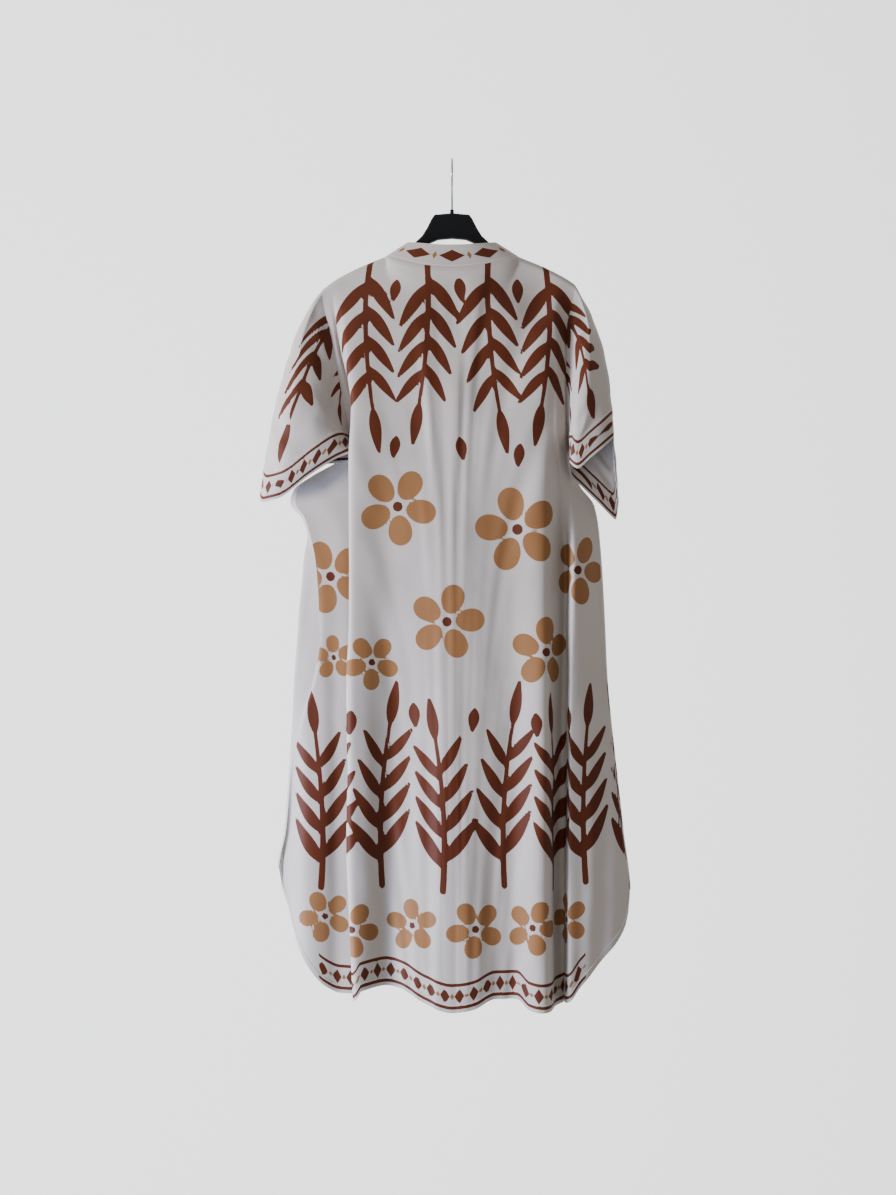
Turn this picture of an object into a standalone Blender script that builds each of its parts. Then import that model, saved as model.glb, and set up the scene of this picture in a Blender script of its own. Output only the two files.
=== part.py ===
# Maxi dress on a plastic hanger with a wire hook, modelled in metres with +Z up.
# The garment is seen from behind: +X is to that viewer's right and -Y faces the viewer.
# The origin lies under the top of the hook's arc, where a rail carries it.
# Every table below is in millimetres, with heights measured from the origin.
import math
from collections import namedtuple

import bpy
import bmesh
import numpy as np

MM = 0.001
WALL = 1.6              # cloth wall
SEAM_GAP = 0.3          # between two pieces that are sewn together
UNDERARM_EASE = 2.0     # wider gap right under the arm, where three pieces meet
WRAP_RADIUS = 10.0      # cloth bending over the hanger's arm
TOP_WIDTH_FADE = 70.0   # below the shoulder, where the stations' own places take over
TOP_DEPTH_FADE = 120.0  # the same for depth
UNDERARM = -464.0       # height of both underarm points
NECK_HALF = 106.0       # half width of the neck at the shoulder seams
BACK_NECK_DROP = 23.0   # back neck seam below the neck points
BACK_NECK_DEPTH = 28.0  # back neck seam behind the hanger's plane
V_POINT = -345.0        # lowest point of the front neck seam
V_DEPTH = 24.0
MITRE_LIFT = 1.4        # keeps the band's mitred ends off the front at the V's point
BAND_TOP_BACK = -141.0
BAND_TOP_SIDE = (72.0, -133.0)
BAND_MITRE = -272.0     # where the band's inner edges meet at the centre front

HOOK_WIRE = 3.5
HOOK_RADIUS = 22.0      # inside radius of the hook's arc
BOSS_TOP = -79.0
BOSS_RADIUS = 3.2
BORE_DEPTH = 15.0
YOKE_TOP = -86.0
HANGER_DEPTH = 10.0
ARM_CLEARANCE = 2.2     # from the shoulder seam's middle surface down to the arm

# The shoulder line: cloth lies on the hanger's arms along it.
Shoulder = namedtuple("Shoulder", "x height")
SHOULDER = [
    Shoulder(60, -130.0),
    Shoulder(106, -154.5),
    Shoulder(149, -172.5),
    Shoulder(182, -189.5),
    Shoulder(197, -199.5),
    Shoulder(209, -209.0),
]
SHOULDER_END_LEFT = 208.0
SHOULDER_END_RIGHT = 197.0

# The left edge of both panels: armhole down to the underarm, then the side seam.
# The front armhole mirrors the back one, so arm_y is its depth on either side.
Side = namedtuple("Side", "height x arm_y seam_y front_x")
LEFT_SIDE = [
    Side(-209, -208, 8, 0, -208),
    Side(-256, -199, 13, 0, -199),
    Side(-304, -190, 14, 0, -190),
    Side(-395, -173, 14, 0, -173),
    Side(-440, -163, 10, 1, -164),
    Side(-464, -160, 0, -4, -161),
    Side(-484, -184, 0, 6, -187),
    Side(-506, -222, 0, 8, -227),
    Side(-530, -250, 0, 5, -257),
    Side(-550, -252, 0, 1, -262),
    Side(-576, -236, 0, -4, -242),
    Side(-602, -228, 0, -6, -233),
    Side(-645, -219, 0, -8, -239),
    Side(-709, -214, 0, -9, -244),
    Side(-773, -212, 0, -9, -249),
    Side(-837, -223, 0, -7, -254),
    Side(-900, -243, 0, -3, -258),
    Side(-965, -257, 0, 1, -262),
    Side(-1080, -268, 0, 3, -271),
    Side(-1140, -279, 0, 4, -281),
    Side(-1400, -281, 0, 4, -282),
]
RIGHT_SIDE = [
    Side(-200, 197, 8, 0, 197),
    Side(-230, 188, 13, 0, 190),
    Side(-300, 183, 14, 0, 185),
    Side(-400, 183, 14, 0, 185),
    Side(-440, 185, 10, 2, 186),
    Side(-464, 190, 0, 5, 190),
    Side(-485, 193, 0, 12, 193),
    Side(-520, 205, 0, 13, 206),
    Side(-555, 229, 0, 10, 231),
    Side(-600, 236, 0, 4, 238),
    Side(-733, 243, 0, 2, 247),
    Side(-837, 249, 0, 2, 252),
    Side(-961, 262, 0, 3, 265),
    Side(-1080, 275, 0, 3, 278),
    Side(-1180, 287, 0, 4, 289),
    Side(-1400, 288, 0, 4, 289),
]

# The main folds of the back: an undercut fold on each side of the centre panel.
# tuck is how far the valley lies to the right of the crest, and so under it.
Fold = namedtuple("Fold", "height crest_x tuck crest_y valley_y side_y")
LEFT_FOLD = [
    Fold(-190, -181, -9, -12, -10, -9),
    Fold(-250, -177, -9, -26, -14, -14),
    Fold(-304, -171, -8, -35, -15, -16),
    Fold(-360, -163, -2, -39, -15, -15),
    Fold(-400, -159, 8, -41, -14, -13),
    Fold(-450, -160, 26, -43, -14, -11),
    Fold(-480, -161, 29, -44, -12, -5),
    Fold(-515, -162, 31, -44, -12, -6),
    Fold(-700, -163, 32, -46, -14, -12),
    Fold(-1100, -163, 32, -50, -15, -12),
    Fold(-1350, -154, 30, -54, -16, -13),
]
RIGHT_FOLD = [
    Fold(-187, 183, -10, -11, -12, -10),
    Fold(-250, 176, -9, -20, -32, -20),
    Fold(-440, 176, -10, -22, -34, -20),
    Fold(-464, 178, -9, -10, -28, -2),
    Fold(-485, 181, -9, -5, -17, 5),
    Fold(-520, 185, -9, -8, -13, 4),
    Fold(-575, 188, -8, -17, -10, -3),
    Fold(-640, 190, -5, -28, -6, -12),
    Fold(-800, 187, -4, -31, -6, -12),
    Fold(-1100, 183, -4, -34, -8, -13),
    Fold(-1350, 185, -4, -38, -10, -15),
]
TIP = 3.6               # half width of the bend at a fold's crest or valley

# Soft waves across the centre panel, shallow at the chest and deeper at the hem.
Wave = namedtuple("Wave", "height left_y middle_y right_y outer_y")
BACK_WAVE = [
    Wave(-180, -30, -31, -30, -14),
    Wave(-260, -34, -36, -33, -30),
    Wave(-340, -39, -41, -37, -39),
    Wave(-464, -42, -46, -40, -41),
    Wave(-700, -40, -47, -39, -44),
    Wave(-1100, -38, -51, -37, -48),
    Wave(-1370, -37, -56, -36, -55),
]
FRONT_WAVE = [
    Wave(-180, 28, 30, 28, 14),
    Wave(-260, 32, 30, 32, 26),
    Wave(-340, 38, 32, 38, 33),
    Wave(-464, 42, 38, 42, 36),
    Wave(-700, 45, 38, 46, 36),
    Wave(-1100, 50, 40, 50, 38),
    Wave(-1370, 55, 41, 54, 40),
]

# The rounded hem, from the end of the left side seam to the end of the right one.
Hem = namedtuple("Hem", "x height")
HEM = [
    Hem(-279, -1141), Hem(-277, -1168), Hem(-266, -1200), Hem(-248, -1257), Hem(-230, -1293),
    Hem(-205, -1325), Hem(-181, -1338), Hem(-158, -1339), Hem(-146, -1322), Hem(-110, -1318),
    Hem(-80, -1323), Hem(-42, -1343), Hem(0, -1356), Hem(30, -1352), Hem(66, -1338),
    Hem(105, -1338), Hem(124, -1354), Hem(143, -1357), Hem(176, -1352), Hem(202, -1323),
    Hem(224, -1299), Hem(248, -1272), Hem(267, -1251), Hem(281, -1224), Hem(287, -1182),
]
HEM_MIDDLE = -1250.0    # where each column's place along the hem is read
FRONT_HEM_RISE = 12.0

# Columns between neighbouring stations, and rows down to the underarm and the hem.
COLUMNS = [4, 3, 2, 3, 2, 4, 6, 6, 3, 3, 2, 3, 2, 4]
UPPER_ROWS = 11
LOWER_ROWS = 16
LEFT_NECK_STATION = 6
RIGHT_NECK_STATION = 8

# Hem rings of the sleeves, from the outer end along the back to the inner end and
# back along the front. around is the share of the way round.
Ring = namedtuple("Ring", "around x y height")
LEFT_CUFF = [
    Ring(0.000, -308, -8, -541),
    Ring(0.060, -303, -27, -552),
    Ring(0.150, -277, -38, -547),
    Ring(0.280, -228, -40, -512),
    Ring(0.400, -182, -34, -482),
    Ring(0.470, -158, -29, -473),
    Ring(0.510, -158, -22, -487),
    Ring(0.560, -169, -16, -488),
    Ring(0.660, -206, -11, -490),
    Ring(0.780, -244, -3, -498),
    Ring(0.920, -292, 6, -526),
]
RIGHT_CUFF = [
    Ring(0.000, 258, -30, -450),
    Ring(0.120, 222, -40, -480),
    Ring(0.230, 199, -38, -499),
    Ring(0.320, 188, -31, -490),
    Ring(0.420, 187, -22, -488),
    Ring(0.510, 191, -12, -508),
    Ring(0.600, 210, -10, -527),
    Ring(0.700, 240, -6, -556),
    Ring(0.780, 264, 0, -578),
    Ring(0.860, 268, 2, -550),
    Ring(0.940, 259, -8, -488),
]
SLEEVE_ROWS = 9
UNDERARM_NEARNESS = 0.62    # how fast the underarm's own turn fades round the armhole
Drape = namedtuple("Drape", "leave under arrive back_bulge front_bulge outer")
LEFT_DRAPE = Drape((-0.55, 0.0, -0.83), (-1.0, -0.5, 0.0), (-0.28, 0.0, -0.96), 20.0, 4.0, 8.0)
RIGHT_DRAPE = Drape((0.50, 0.0, -0.86), (1.0, 0.0, 0.1), (0.12, 0.0, -0.99), 20.0, 6.0, 6.0)


def column(rows, name):
    return np.array([getattr(row, name) for row in rows], float)


def smooth(rows, name, at, key="height"):
    """Reads one column of a table along its key, as a curve that never overshoots."""
    keys = column(rows, key)
    values = column(rows, name)
    order = np.argsort(keys)
    keys, values = keys[order], values[order]
    step = np.diff(keys)
    rise = np.diff(values) / step
    slope = np.zeros(len(keys))
    before, after = rise[:-1], rise[1:]
    same_way = before * after > 0
    total = np.where(same_way, before + after, 1)
    slope[1:-1] = np.where(same_way, 2 * before * after / total, 0)
    slope[0], slope[-1] = rise[0], rise[-1]
    at = np.clip(at, keys[0], keys[-1])
    part = np.clip(np.searchsorted(keys, at, side="right") - 1, 0, len(step) - 1)
    share = (at - keys[part]) / step[part]
    return hermite(values[part], values[part + 1], slope[part] * step[part],
                   slope[part + 1] * step[part], share)


def hermite(start, end, leaving, arriving, share):
    square, cube = share ** 2, share ** 3
    return (start * (2 * cube - 3 * square + 1) + leaving * (cube - 2 * square + share)
            + end * (3 * square - 2 * cube) + arriving * (cube - square))


def ease(share):
    share = np.clip(share, 0, 1)
    return share * share * (3 - 2 * share)


def station_grid(points, columns):
    """Spline through station points (stations, rows, 3), with the given columns between."""
    chord = np.linalg.norm(np.diff(points, axis=0), axis=2)
    span = np.sqrt(np.maximum(chord, 0.5))[..., None]
    rate = np.diff(points, axis=0) / span
    tangent = np.empty_like(points)
    tangent[1:-1] = (rate[1:] * span[:-1] + rate[:-1] * span[1:]) / (span[:-1] + span[1:])
    tangent[0], tangent[-1] = rate[0], rate[-1]
    strips = []
    for part, count in enumerate(columns):
        for step in range(count):
            strips.append(hermite(points[part], points[part + 1], tangent[part] * span[part],
                                  tangent[part + 1] * span[part], step / count))
    strips.append(points[-1])
    return np.array(strips)


def shoulder_height(x):
    return smooth(SHOULDER, "height", np.abs(x), "x")


def neck_stations():
    """Station places along the shoulders and the neck."""
    return np.array([-SHOULDER_END_LEFT, -199, -192, -188, -183, -178, -NECK_HALF, 0,
                     NECK_HALF, 150, 169, 173, 181, 185, SHOULDER_END_RIGHT])


def top_line(side):
    """The panel's top edge: shoulder seams and neck seam. side is -1 for the back."""
    stations = neck_stations()
    x = station_grid(np.repeat(stations[:, None, None], 3, axis=2), COLUMNS)[:, 0, 0]
    first, last = sum(COLUMNS[:LEFT_NECK_STATION]), sum(COLUMNS[:RIGHT_NECK_STATION])
    x[first:last + 1] = -NECK_HALF * np.cos(np.linspace(0, math.pi, last - first + 1))
    share = np.clip(np.abs(x) / NECK_HALF, 0, 1)
    height = shoulder_height(np.maximum(np.abs(x), NECK_HALF))
    depth = np.zeros_like(x)
    neck = np.abs(x) < NECK_HALF - 0.01
    if side < 0:
        bend = np.sqrt(np.clip(1 - share ** 2, 0, 1))
        height[neck] -= BACK_NECK_DROP * bend[neck] ** 2
        depth[neck] = -BACK_NECK_DEPTH * bend[neck] ** 0.8
    else:
        fall = 1 - share
        height[neck] += (V_POINT - height[neck]) * fall[neck] ** 1.3
        depth[neck] = V_DEPTH * fall[neck] ** 0.35
    return x, depth, height


def back_stations(height):
    """Station points of the back at the given heights, left seam to right seam."""
    left = {name: smooth(LEFT_FOLD, name, height) for name in Fold._fields[1:]}
    right = {name: smooth(RIGHT_FOLD, name, height) for name in Fold._fields[1:]}
    wave = {name: smooth(BACK_WAVE, name, height) for name in Wave._fields[1:]}
    left_x = smooth(LEFT_SIDE, "x", height)
    right_x = smooth(RIGHT_SIDE, "x", height)
    left_y = smooth(LEFT_SIDE, "seam_y", height) - smooth(LEFT_SIDE, "arm_y", height)
    right_y = smooth(RIGHT_SIDE, "seam_y", height) - smooth(RIGHT_SIDE, "arm_y", height)
    left_valley = left["crest_x"] + left["tuck"]
    right_valley = right["crest_x"] + right["tuck"]
    left_tip = TIP * np.clip((left["valley_y"] - left["crest_y"]) / 20, 0, 1)
    right_tip = TIP / 2 * np.clip((right["valley_y"] - right["crest_y"]) / 15, -1, 1)
    flat = np.zeros_like(height)
    rows = [
        (left_x, left_y),
        ((left_x + left_valley) / 2, left["side_y"]),
        (left_valley, left["valley_y"] + left_tip),
        (left_valley + TIP / 2, left["valley_y"] - left_tip),
        (left["crest_x"], left["crest_y"] + left_tip),
        (left["crest_x"] + TIP, left["crest_y"] - left_tip / 2),
        (flat - 100, wave["left_y"]),
        (flat, wave["middle_y"]),
        (flat + 92, wave["right_y"]),
        (flat + 147, wave["outer_y"]),
        (right_valley - TIP, right["valley_y"]),
        (right_valley, right["valley_y"] - right_tip),
        (right["crest_x"], right["crest_y"] + right_tip),
        (right["crest_x"] + TIP, right["crest_y"] - right_tip),
        (right_x, right_y),
    ]
    return np.array([np.stack([x, y, height], axis=-1) for x, y in rows])


def front_stations(height):
    """Station points of the front at the given heights, left seam to right seam."""
    wave = {name: smooth(FRONT_WAVE, name, height) for name in Wave._fields[1:]}
    left_x = smooth(LEFT_SIDE, "x", height)
    right_x = smooth(RIGHT_SIDE, "x", height)
    left_y = smooth(LEFT_SIDE, "seam_y", height) + smooth(LEFT_SIDE, "arm_y", height)
    right_y = smooth(RIGHT_SIDE, "seam_y", height) + smooth(RIGHT_SIDE, "arm_y", height)
    left_turn = smooth(LEFT_SIDE, "front_x", height)
    right_turn = smooth(RIGHT_SIDE, "front_x", height)
    flat = np.zeros_like(height)
    closed = ease((-440 - height) / 90)
    drawn_in = 1 - 0.03 * (1 - closed)      # open armholes, closed side seams
    rows = [
        (left_x, left_y),
        (left_turn * drawn_in, left_y + 3 + 6 * closed),
        (left_turn * 0.95, left_y + 7 + 8 * closed),
        (left_turn * 0.92, left_y + 10 + 8 * closed),
        (left_turn * 0.86, wave["outer_y"] * 0.80),
        (left_turn * 0.82, wave["outer_y"] * 0.86),
        (flat - 98, wave["left_y"]),
        (flat, wave["middle_y"]),
        (flat + 98, wave["right_y"]),
        (right_turn * 0.70, wave["outer_y"]),
        (right_turn * 0.82, wave["outer_y"] * 0.86),
        (right_turn * 0.86, wave["outer_y"] * 0.80),
        (right_turn * 0.92, right_y + 10 + 8 * closed),
        (right_turn * drawn_in, right_y + 3 + 6 * closed),
        (right_x, right_y),
    ]
    return np.array([np.stack([x, y, height], axis=-1) for x, y in rows])


def panel_points(side):
    """Middle surface of the back (side -1) or the front (side 1), columns by rows."""
    stations_at = back_stations if side < 0 else front_stations
    x_top, y_top, z_top = top_line(side)
    turns = np.radians([0, 22.5, 45, 67.5, 90])
    drops = WRAP_RADIUS * (1 - np.cos(turns))
    count = len(x_top)
    upper = np.sin(np.linspace(0, math.pi / 2, UPPER_ROWS - len(drops) + 2)[1:]) ** 1.3
    start = z_top - WRAP_RADIUS
    heights = [z_top - drop for drop in drops]
    heights += [start + (UNDERARM - start) * share for share in upper]
    low = np.full(count, HEM_MIDDLE)
    hem_line = smooth(HEM, "height", station_grid(stations_at(low), COLUMNS)[:, 0, 0], "x")
    if side > 0:
        hem_line += FRONT_HEM_RISE * ease((HEM[0].height - hem_line) / 80)
    lower = np.linspace(0, 1, LOWER_ROWS + 1)[1:]
    heights += [UNDERARM + (hem_line - UNDERARM) * share for share in lower]
    points = np.empty((count, len(heights), 3))
    for row, height in enumerate(heights):
        strip = station_grid(stations_at(height), COLUMNS)
        points[:, row] = strip[np.arange(count), np.arange(count)]
        fallen = z_top - height
        turn = np.sqrt(np.clip(1 - (1 - np.clip(fallen / WRAP_RADIUS, 0, 1)) ** 2, 0, 1))
        upper_y = side * np.sqrt(y_top ** 2 + (WRAP_RADIUS * turn) ** 2)
        points[:, row, 0] += (x_top - points[:, row, 0]) * (1 - ease(fallen / TOP_WIDTH_FADE))
        points[:, row, 1] += (upper_y - points[:, row, 1]) * (1 - ease(fallen / TOP_DEPTH_FADE))
        points[:, row, 2] = height
    return points


def grid_normals(points, outward):
    """Unit normals of a grid of points, facing the side that the function outward gives."""
    across = np.gradient(points, axis=0)
    along = np.gradient(points, axis=1)
    normals = np.cross(across, along)
    normals /= np.maximum(np.linalg.norm(normals, axis=2, keepdims=True), 1e-9)
    return normals * outward


def unit(vectors):
    return vectors / np.maximum(np.linalg.norm(vectors, axis=-1, keepdims=True), 1e-9)


def make_material(name, colour, roughness, metallic=0.0):
    material = bpy.data.materials.new(name)
    material.use_nodes = True
    shader = material.node_tree.nodes["Principled BSDF"]
    shader.inputs["Base Color"].default_value = (*colour, 1.0)
    shader.inputs["Roughness"].default_value = roughness
    shader.inputs["Metallic"].default_value = metallic
    return material


def finish(obj, collection, material):
    for holder in list(obj.users_collection):
        holder.objects.unlink(obj)
    collection.objects.link(obj)
    obj.data.materials.clear()
    obj.data.materials.append(material)
    return obj


def cloth_wall(name, points, normals, closed, collection, material):
    """A closed wall on both sides of a grid of points, lofted section by section."""
    columns, rows = points.shape[:2]
    mesh = bmesh.new()
    layers = []
    for offset in (WALL / 2, -WALL / 2):
        moved = (points + normals * offset) * MM
        layers.append([[mesh.verts.new(moved[c, r]) for r in range(rows)] for c in range(columns)])
    outer, inner = layers
    around = range(columns if closed else columns - 1)
    for c in around:
        d = (c + 1) % columns
        for r in range(rows - 1):
            mesh.faces.new((outer[c][r], outer[c][r + 1], outer[d][r + 1], outer[d][r]))
            mesh.faces.new((inner[c][r], inner[d][r], inner[d][r + 1], inner[c][r + 1]))
        mesh.faces.new((outer[c][0], outer[d][0], inner[d][0], inner[c][0]))
        mesh.faces.new((outer[c][-1], inner[c][-1], inner[d][-1], outer[d][-1]))
    if not closed:
        for r in range(rows - 1):
            mesh.faces.new((outer[0][r], inner[0][r], inner[0][r + 1], outer[0][r + 1]))
            mesh.faces.new((outer[-1][r], outer[-1][r + 1], inner[-1][r + 1], inner[-1][r]))
    bmesh.ops.recalc_face_normals(mesh, faces=mesh.faces)
    data = bpy.data.meshes.new(name)
    mesh.to_mesh(data)
    mesh.free()
    data.shade_smooth()
    data.set_sharp_from_angle(angle=math.radians(50))
    obj = bpy.data.objects.new(name, data)
    bpy.context.scene.collection.objects.link(obj)
    return finish(obj, collection, material)


def edge_side(edge, normals, towards, closed=False):
    """Unit direction in the surface, square to an edge, pointing the given way."""
    if closed:
        tangent = unit(np.roll(edge, -1, axis=0) - np.roll(edge, 1, axis=0))
    else:
        tangent = unit(np.gradient(edge, axis=0))
    side = unit(np.cross(normals, tangent))
    sign = np.sign(np.sum(side * towards, axis=-1, keepdims=True))
    return side * np.where(sign == 0, 1, sign)


def share_normals(*places):
    """Gives every (normals, index) place of one seam the same mean normals."""
    mean = unit(sum(normals[index] for normals, index in places))
    for normals, index in places:
        normals[index] = mean


def cuff_points(cuff, count):
    """The sleeve's hem as a closed ring of points, starting at its outer end."""
    rows = [row._replace(around=row.around - 1) for row in cuff]
    rows += cuff + [row._replace(around=row.around + 1) for row in cuff]
    around = np.arange(count) / count
    return np.stack([smooth(rows, name, around, "around") for name in ("x", "y", "height")], axis=-1)


def sleeve_points(loop, cuff, drape):
    """Sleeve surface from the armhole loop to the hem ring, around by along."""
    count = len(loop)
    ring = cuff_points(cuff, count)
    length = np.linalg.norm(ring - loop, axis=1, keepdims=True)
    under = (UNDERARM_NEARNESS ** np.abs(np.arange(count) - count // 2))[:, None]
    heading = np.array(drape.leave) * (1 - under) + np.array(drape.under) * under
    leaving = loop + heading * length * 0.30
    arriving = ring - np.array(drape.arrive) * length * 0.25
    turn = 2 * math.pi * np.arange(count) / count
    back, front = np.maximum(np.sin(turn), 0), np.maximum(-np.sin(turn), 0)
    outer = np.maximum(np.cos(turn), 0) ** 2
    rows = []
    for share in np.linspace(0, 1, SLEEVE_ROWS + 1):
        rest = 1 - share
        row = (loop * rest ** 3 + leaving * 3 * share * rest ** 2
               + arriving * 3 * share ** 2 * rest + ring * share ** 3)
        swell = math.sin(math.pi * share)
        row[:, 1] += (drape.front_bulge * front - drape.back_bulge * back) * swell
        row[:, 0] += math.copysign(1, drape.leave[0]) * drape.outer * outer * swell
        rows.append(row)
    return np.stack(rows, axis=1)


def ring_normals(points):
    """Outward unit normals of a closed ring surface, around by along."""
    across = np.roll(points, -1, axis=0) - np.roll(points, 1, axis=0)
    along = np.gradient(points, axis=1)
    normals = unit(np.cross(across, along))
    outward = points - points.mean(axis=0, keepdims=True)
    return normals * math.copysign(1, np.sum(normals * outward))


def neck_band_points(back, front, neck_left, neck_right):
    """The neckband: seam points along the neck, and rows up to its free edge."""
    middle = (neck_left + neck_right) // 2
    seam = np.concatenate([front[middle:neck_left:-1, 0], back[neck_left:neck_right + 1, 0],
                           front[neck_right - 1:middle - 1:-1, 0]])
    share = np.abs(seam[:, 0]) / NECK_HALF
    behind = seam[:, 1] < 0
    side_x, side_height = BAND_TOP_SIDE
    bend = np.sqrt(np.clip(1 - share ** 2, 0, 1))
    edge = np.empty_like(seam)
    edge[:, 0] = seam[:, 0] * side_x / NECK_HALF
    edge[:, 1] = seam[:, 1] * 0.86
    back_height = side_height + (BAND_TOP_BACK - side_height) * bend ** 2
    front_height = side_height + (BAND_MITRE - side_height) * (1 - share) ** 1.3
    edge[:, 2] = np.where(behind, back_height, front_height)
    return np.stack([seam + (edge - seam) * part for part in np.linspace(0, 1, 4)], axis=1)


def inset_edge(points, normals, end):
    """A panel's outer edge, drawn back by half a seam gap at the armhole and the side seam."""
    edge, edge_normals = points[end].copy(), normals[end]
    armhole, side_seam = np.s_[:UPPER_ROWS + 1], np.s_[UPPER_ROWS:]
    inwards = (1, 0, 0) if end == 0 else (-1, 0, 0)
    away = (0, np.sign(points[len(points) // 2, -1, 1]), 0)
    at_armhole = edge_side(edge[armhole], edge_normals[armhole], np.array(inwards))
    at_seam = edge_side(edge[side_seam], edge_normals[side_seam], np.array(away))
    edge[:UPPER_ROWS] += at_armhole[:-1] * SEAM_GAP / 2
    edge[side_seam] += at_seam * SEAM_GAP / 2
    edge[UPPER_ROWS, 2] -= UNDERARM_EASE
    return edge


def build_garment(collection):
    neck_left = sum(COLUMNS[:LEFT_NECK_STATION])
    neck_right = sum(COLUMNS[:RIGHT_NECK_STATION])
    middle = (neck_left + neck_right) // 2
    back, front = panel_points(-1), panel_points(1)
    back_normals, front_normals = grid_normals(back, -1), grid_normals(front, 1)
    shoulders = np.r_[0:neck_left + 1, neck_right:len(back)]
    share_normals((back_normals, np.s_[shoulders, 0]), (front_normals, np.s_[shoulders, 0]))
    for end in (0, -1):
        side_seam = np.s_[end, UPPER_ROWS:]
        share_normals((back_normals, side_seam), (front_normals, side_seam))

    band = neck_band_points(back, front, neck_left, neck_right)
    band_normals = grid_normals(band, 1)
    band_normals *= -math.copysign(1, band_normals[len(band) // 2, 1, 1])
    neck_front_left = middle - neck_left
    half = neck_right - neck_left
    seam_parts = [
        (np.s_[:neck_front_left], front_normals, np.s_[middle:neck_left:-1, 0]),
        (np.s_[neck_front_left:neck_front_left + half + 1], back_normals,
         np.s_[neck_left:neck_right + 1, 0]),
        (np.s_[neck_front_left + half + 1:], front_normals, np.s_[neck_right - 1:middle - 1:-1, 0]),
    ]
    for part, normals, index in seam_parts:
        mean = unit(band_normals[part, 0] + normals[index])
        band_normals[part, 0] = mean
        normals[index] = mean
    front_normals[neck_left, 0] = back_normals[neck_left, 0]
    front_normals[neck_right, 0] = back_normals[neck_right, 0]

    sleeves = {}
    for name, end, cuff, drape in (("sleeve_left", 0, LEFT_CUFF, LEFT_DRAPE),
                                   ("sleeve_right", -1, RIGHT_CUFF, RIGHT_DRAPE)):
        loop = np.concatenate([back[end, :UPPER_ROWS + 1], front[end, UPPER_ROWS - 1:0:-1]])
        edge_normals = np.concatenate([back_normals[end, :UPPER_ROWS + 1],
                                       front_normals[end, UPPER_ROWS - 1:0:-1]])
        outward = np.zeros_like(loop)
        outward[:, 0] = -1 if end == 0 else 1
        outward[UPPER_ROWS] += (0, 0, 1)
        nearness = (0.4 ** np.abs(np.arange(len(loop)) - UPPER_ROWS))[:, None]
        gap = SEAM_GAP * 0.5 + UNDERARM_EASE * nearness
        points = sleeve_points(loop, cuff, drape)
        normals = ring_normals(points)
        agree = np.sum(edge_normals * normals[:, 0], axis=1, keepdims=True) > -0.7
        shared = np.where(agree, unit(edge_normals + normals[:, 0]), edge_normals)
        shared[0] = (0, 0, 1)
        away = edge_side(loop, shared, outward, closed=True)
        away[0] = unit(away[1] + away[-1])
        normals[:, 0] = shared
        back_normals[end, :UPPER_ROWS + 1] = shared[:UPPER_ROWS + 1]
        front_normals[end, 1:UPPER_ROWS] = shared[:UPPER_ROWS:-1]
        front_normals[end, [0, UPPER_ROWS]] = back_normals[end, [0, UPPER_ROWS]]
        points[:, 0] += away * gap
        sleeves[name] = (points, normals)

    panels = {}
    for name, points, normals in (("back", back, back_normals), ("front", front, front_normals)):
        moved = points.copy()
        for end in (0, -1):
            moved[end] = inset_edge(points, normals, end)
        down = np.zeros_like(points[:, 0])
        down[:, 1] = np.sign(points[len(points) // 2, -1, 1])
        down[neck_left + 1:neck_right, 2] = -4
        moved[:, 0] += edge_side(points[:, 0], normals[:, 0], down) * SEAM_GAP / 2
        panels[name] = (moved, normals)

    upright = np.zeros_like(band[:, 0])
    upright[:, 2] = 1
    band[:, 0] += edge_side(band[:, 0], band_normals[:, 0], upright) * SEAM_GAP / 2
    band[0, :, 0] = -SEAM_GAP / 2
    band[-1, :, 0] = SEAM_GAP / 2
    band[[0, -1], 0, 2] += MITRE_LIFT
    band_normals[[0, -1], :, 0] = 0

    cream = (0.80, 0.76, 0.72)
    for name, (points, normals) in panels.items():
        cloth_wall(name, points, normals, False, collection, make_material(name + "_cloth", cream, 0.6))
    for name, (points, normals) in sleeves.items():
        cloth_wall(name, points, normals, True, collection, make_material(name + "_cloth", cream, 0.6))
    cloth_wall("neckband", band, unit(band_normals), False, collection,
               make_material("neckband_cloth", (0.62, 0.50, 0.42), 0.6))


def apply_boolean(obj, cutter, operation):
    change = obj.modifiers.new(operation.lower(), "BOOLEAN")
    change.operation = operation
    change.object = cutter


def add_cylinder(name, radius, bottom, top, collection):
    bpy.ops.mesh.primitive_cylinder_add(vertices=24, radius=radius * MM, depth=(top - bottom) * MM,
                                        location=(0, 0, (top + bottom) / 2 * MM))
    obj = bpy.context.active_object
    obj.name = name
    for holder in list(obj.users_collection):
        holder.objects.unlink(obj)
    collection.objects.link(obj)
    obj.display_type = "WIRE"
    obj.hide_render = True
    return obj


# Half of the hanger's outline, from the middle of its top to the middle of its arch.
Corner = namedtuple("Corner", "x height")
HANGER_TOP = [
    Corner(0, -84.6), Corner(28, -87), Corner(33, -94), Corner(40, -108), Corner(48, -121),
]
HANGER_ARM = [60, 82, 106, 128, 149, 170, 186]
HANGER_END = [Corner(191, -201), Corner(189, -207), Corner(182, -208)]
HANGER_ARCH = [
    Corner(150, -194), Corner(100, -172), Corner(62, -152), Corner(46, -141),
    Corner(36, -133.5), Corner(22, -127.6), Corner(0, -125.6),
]


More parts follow.
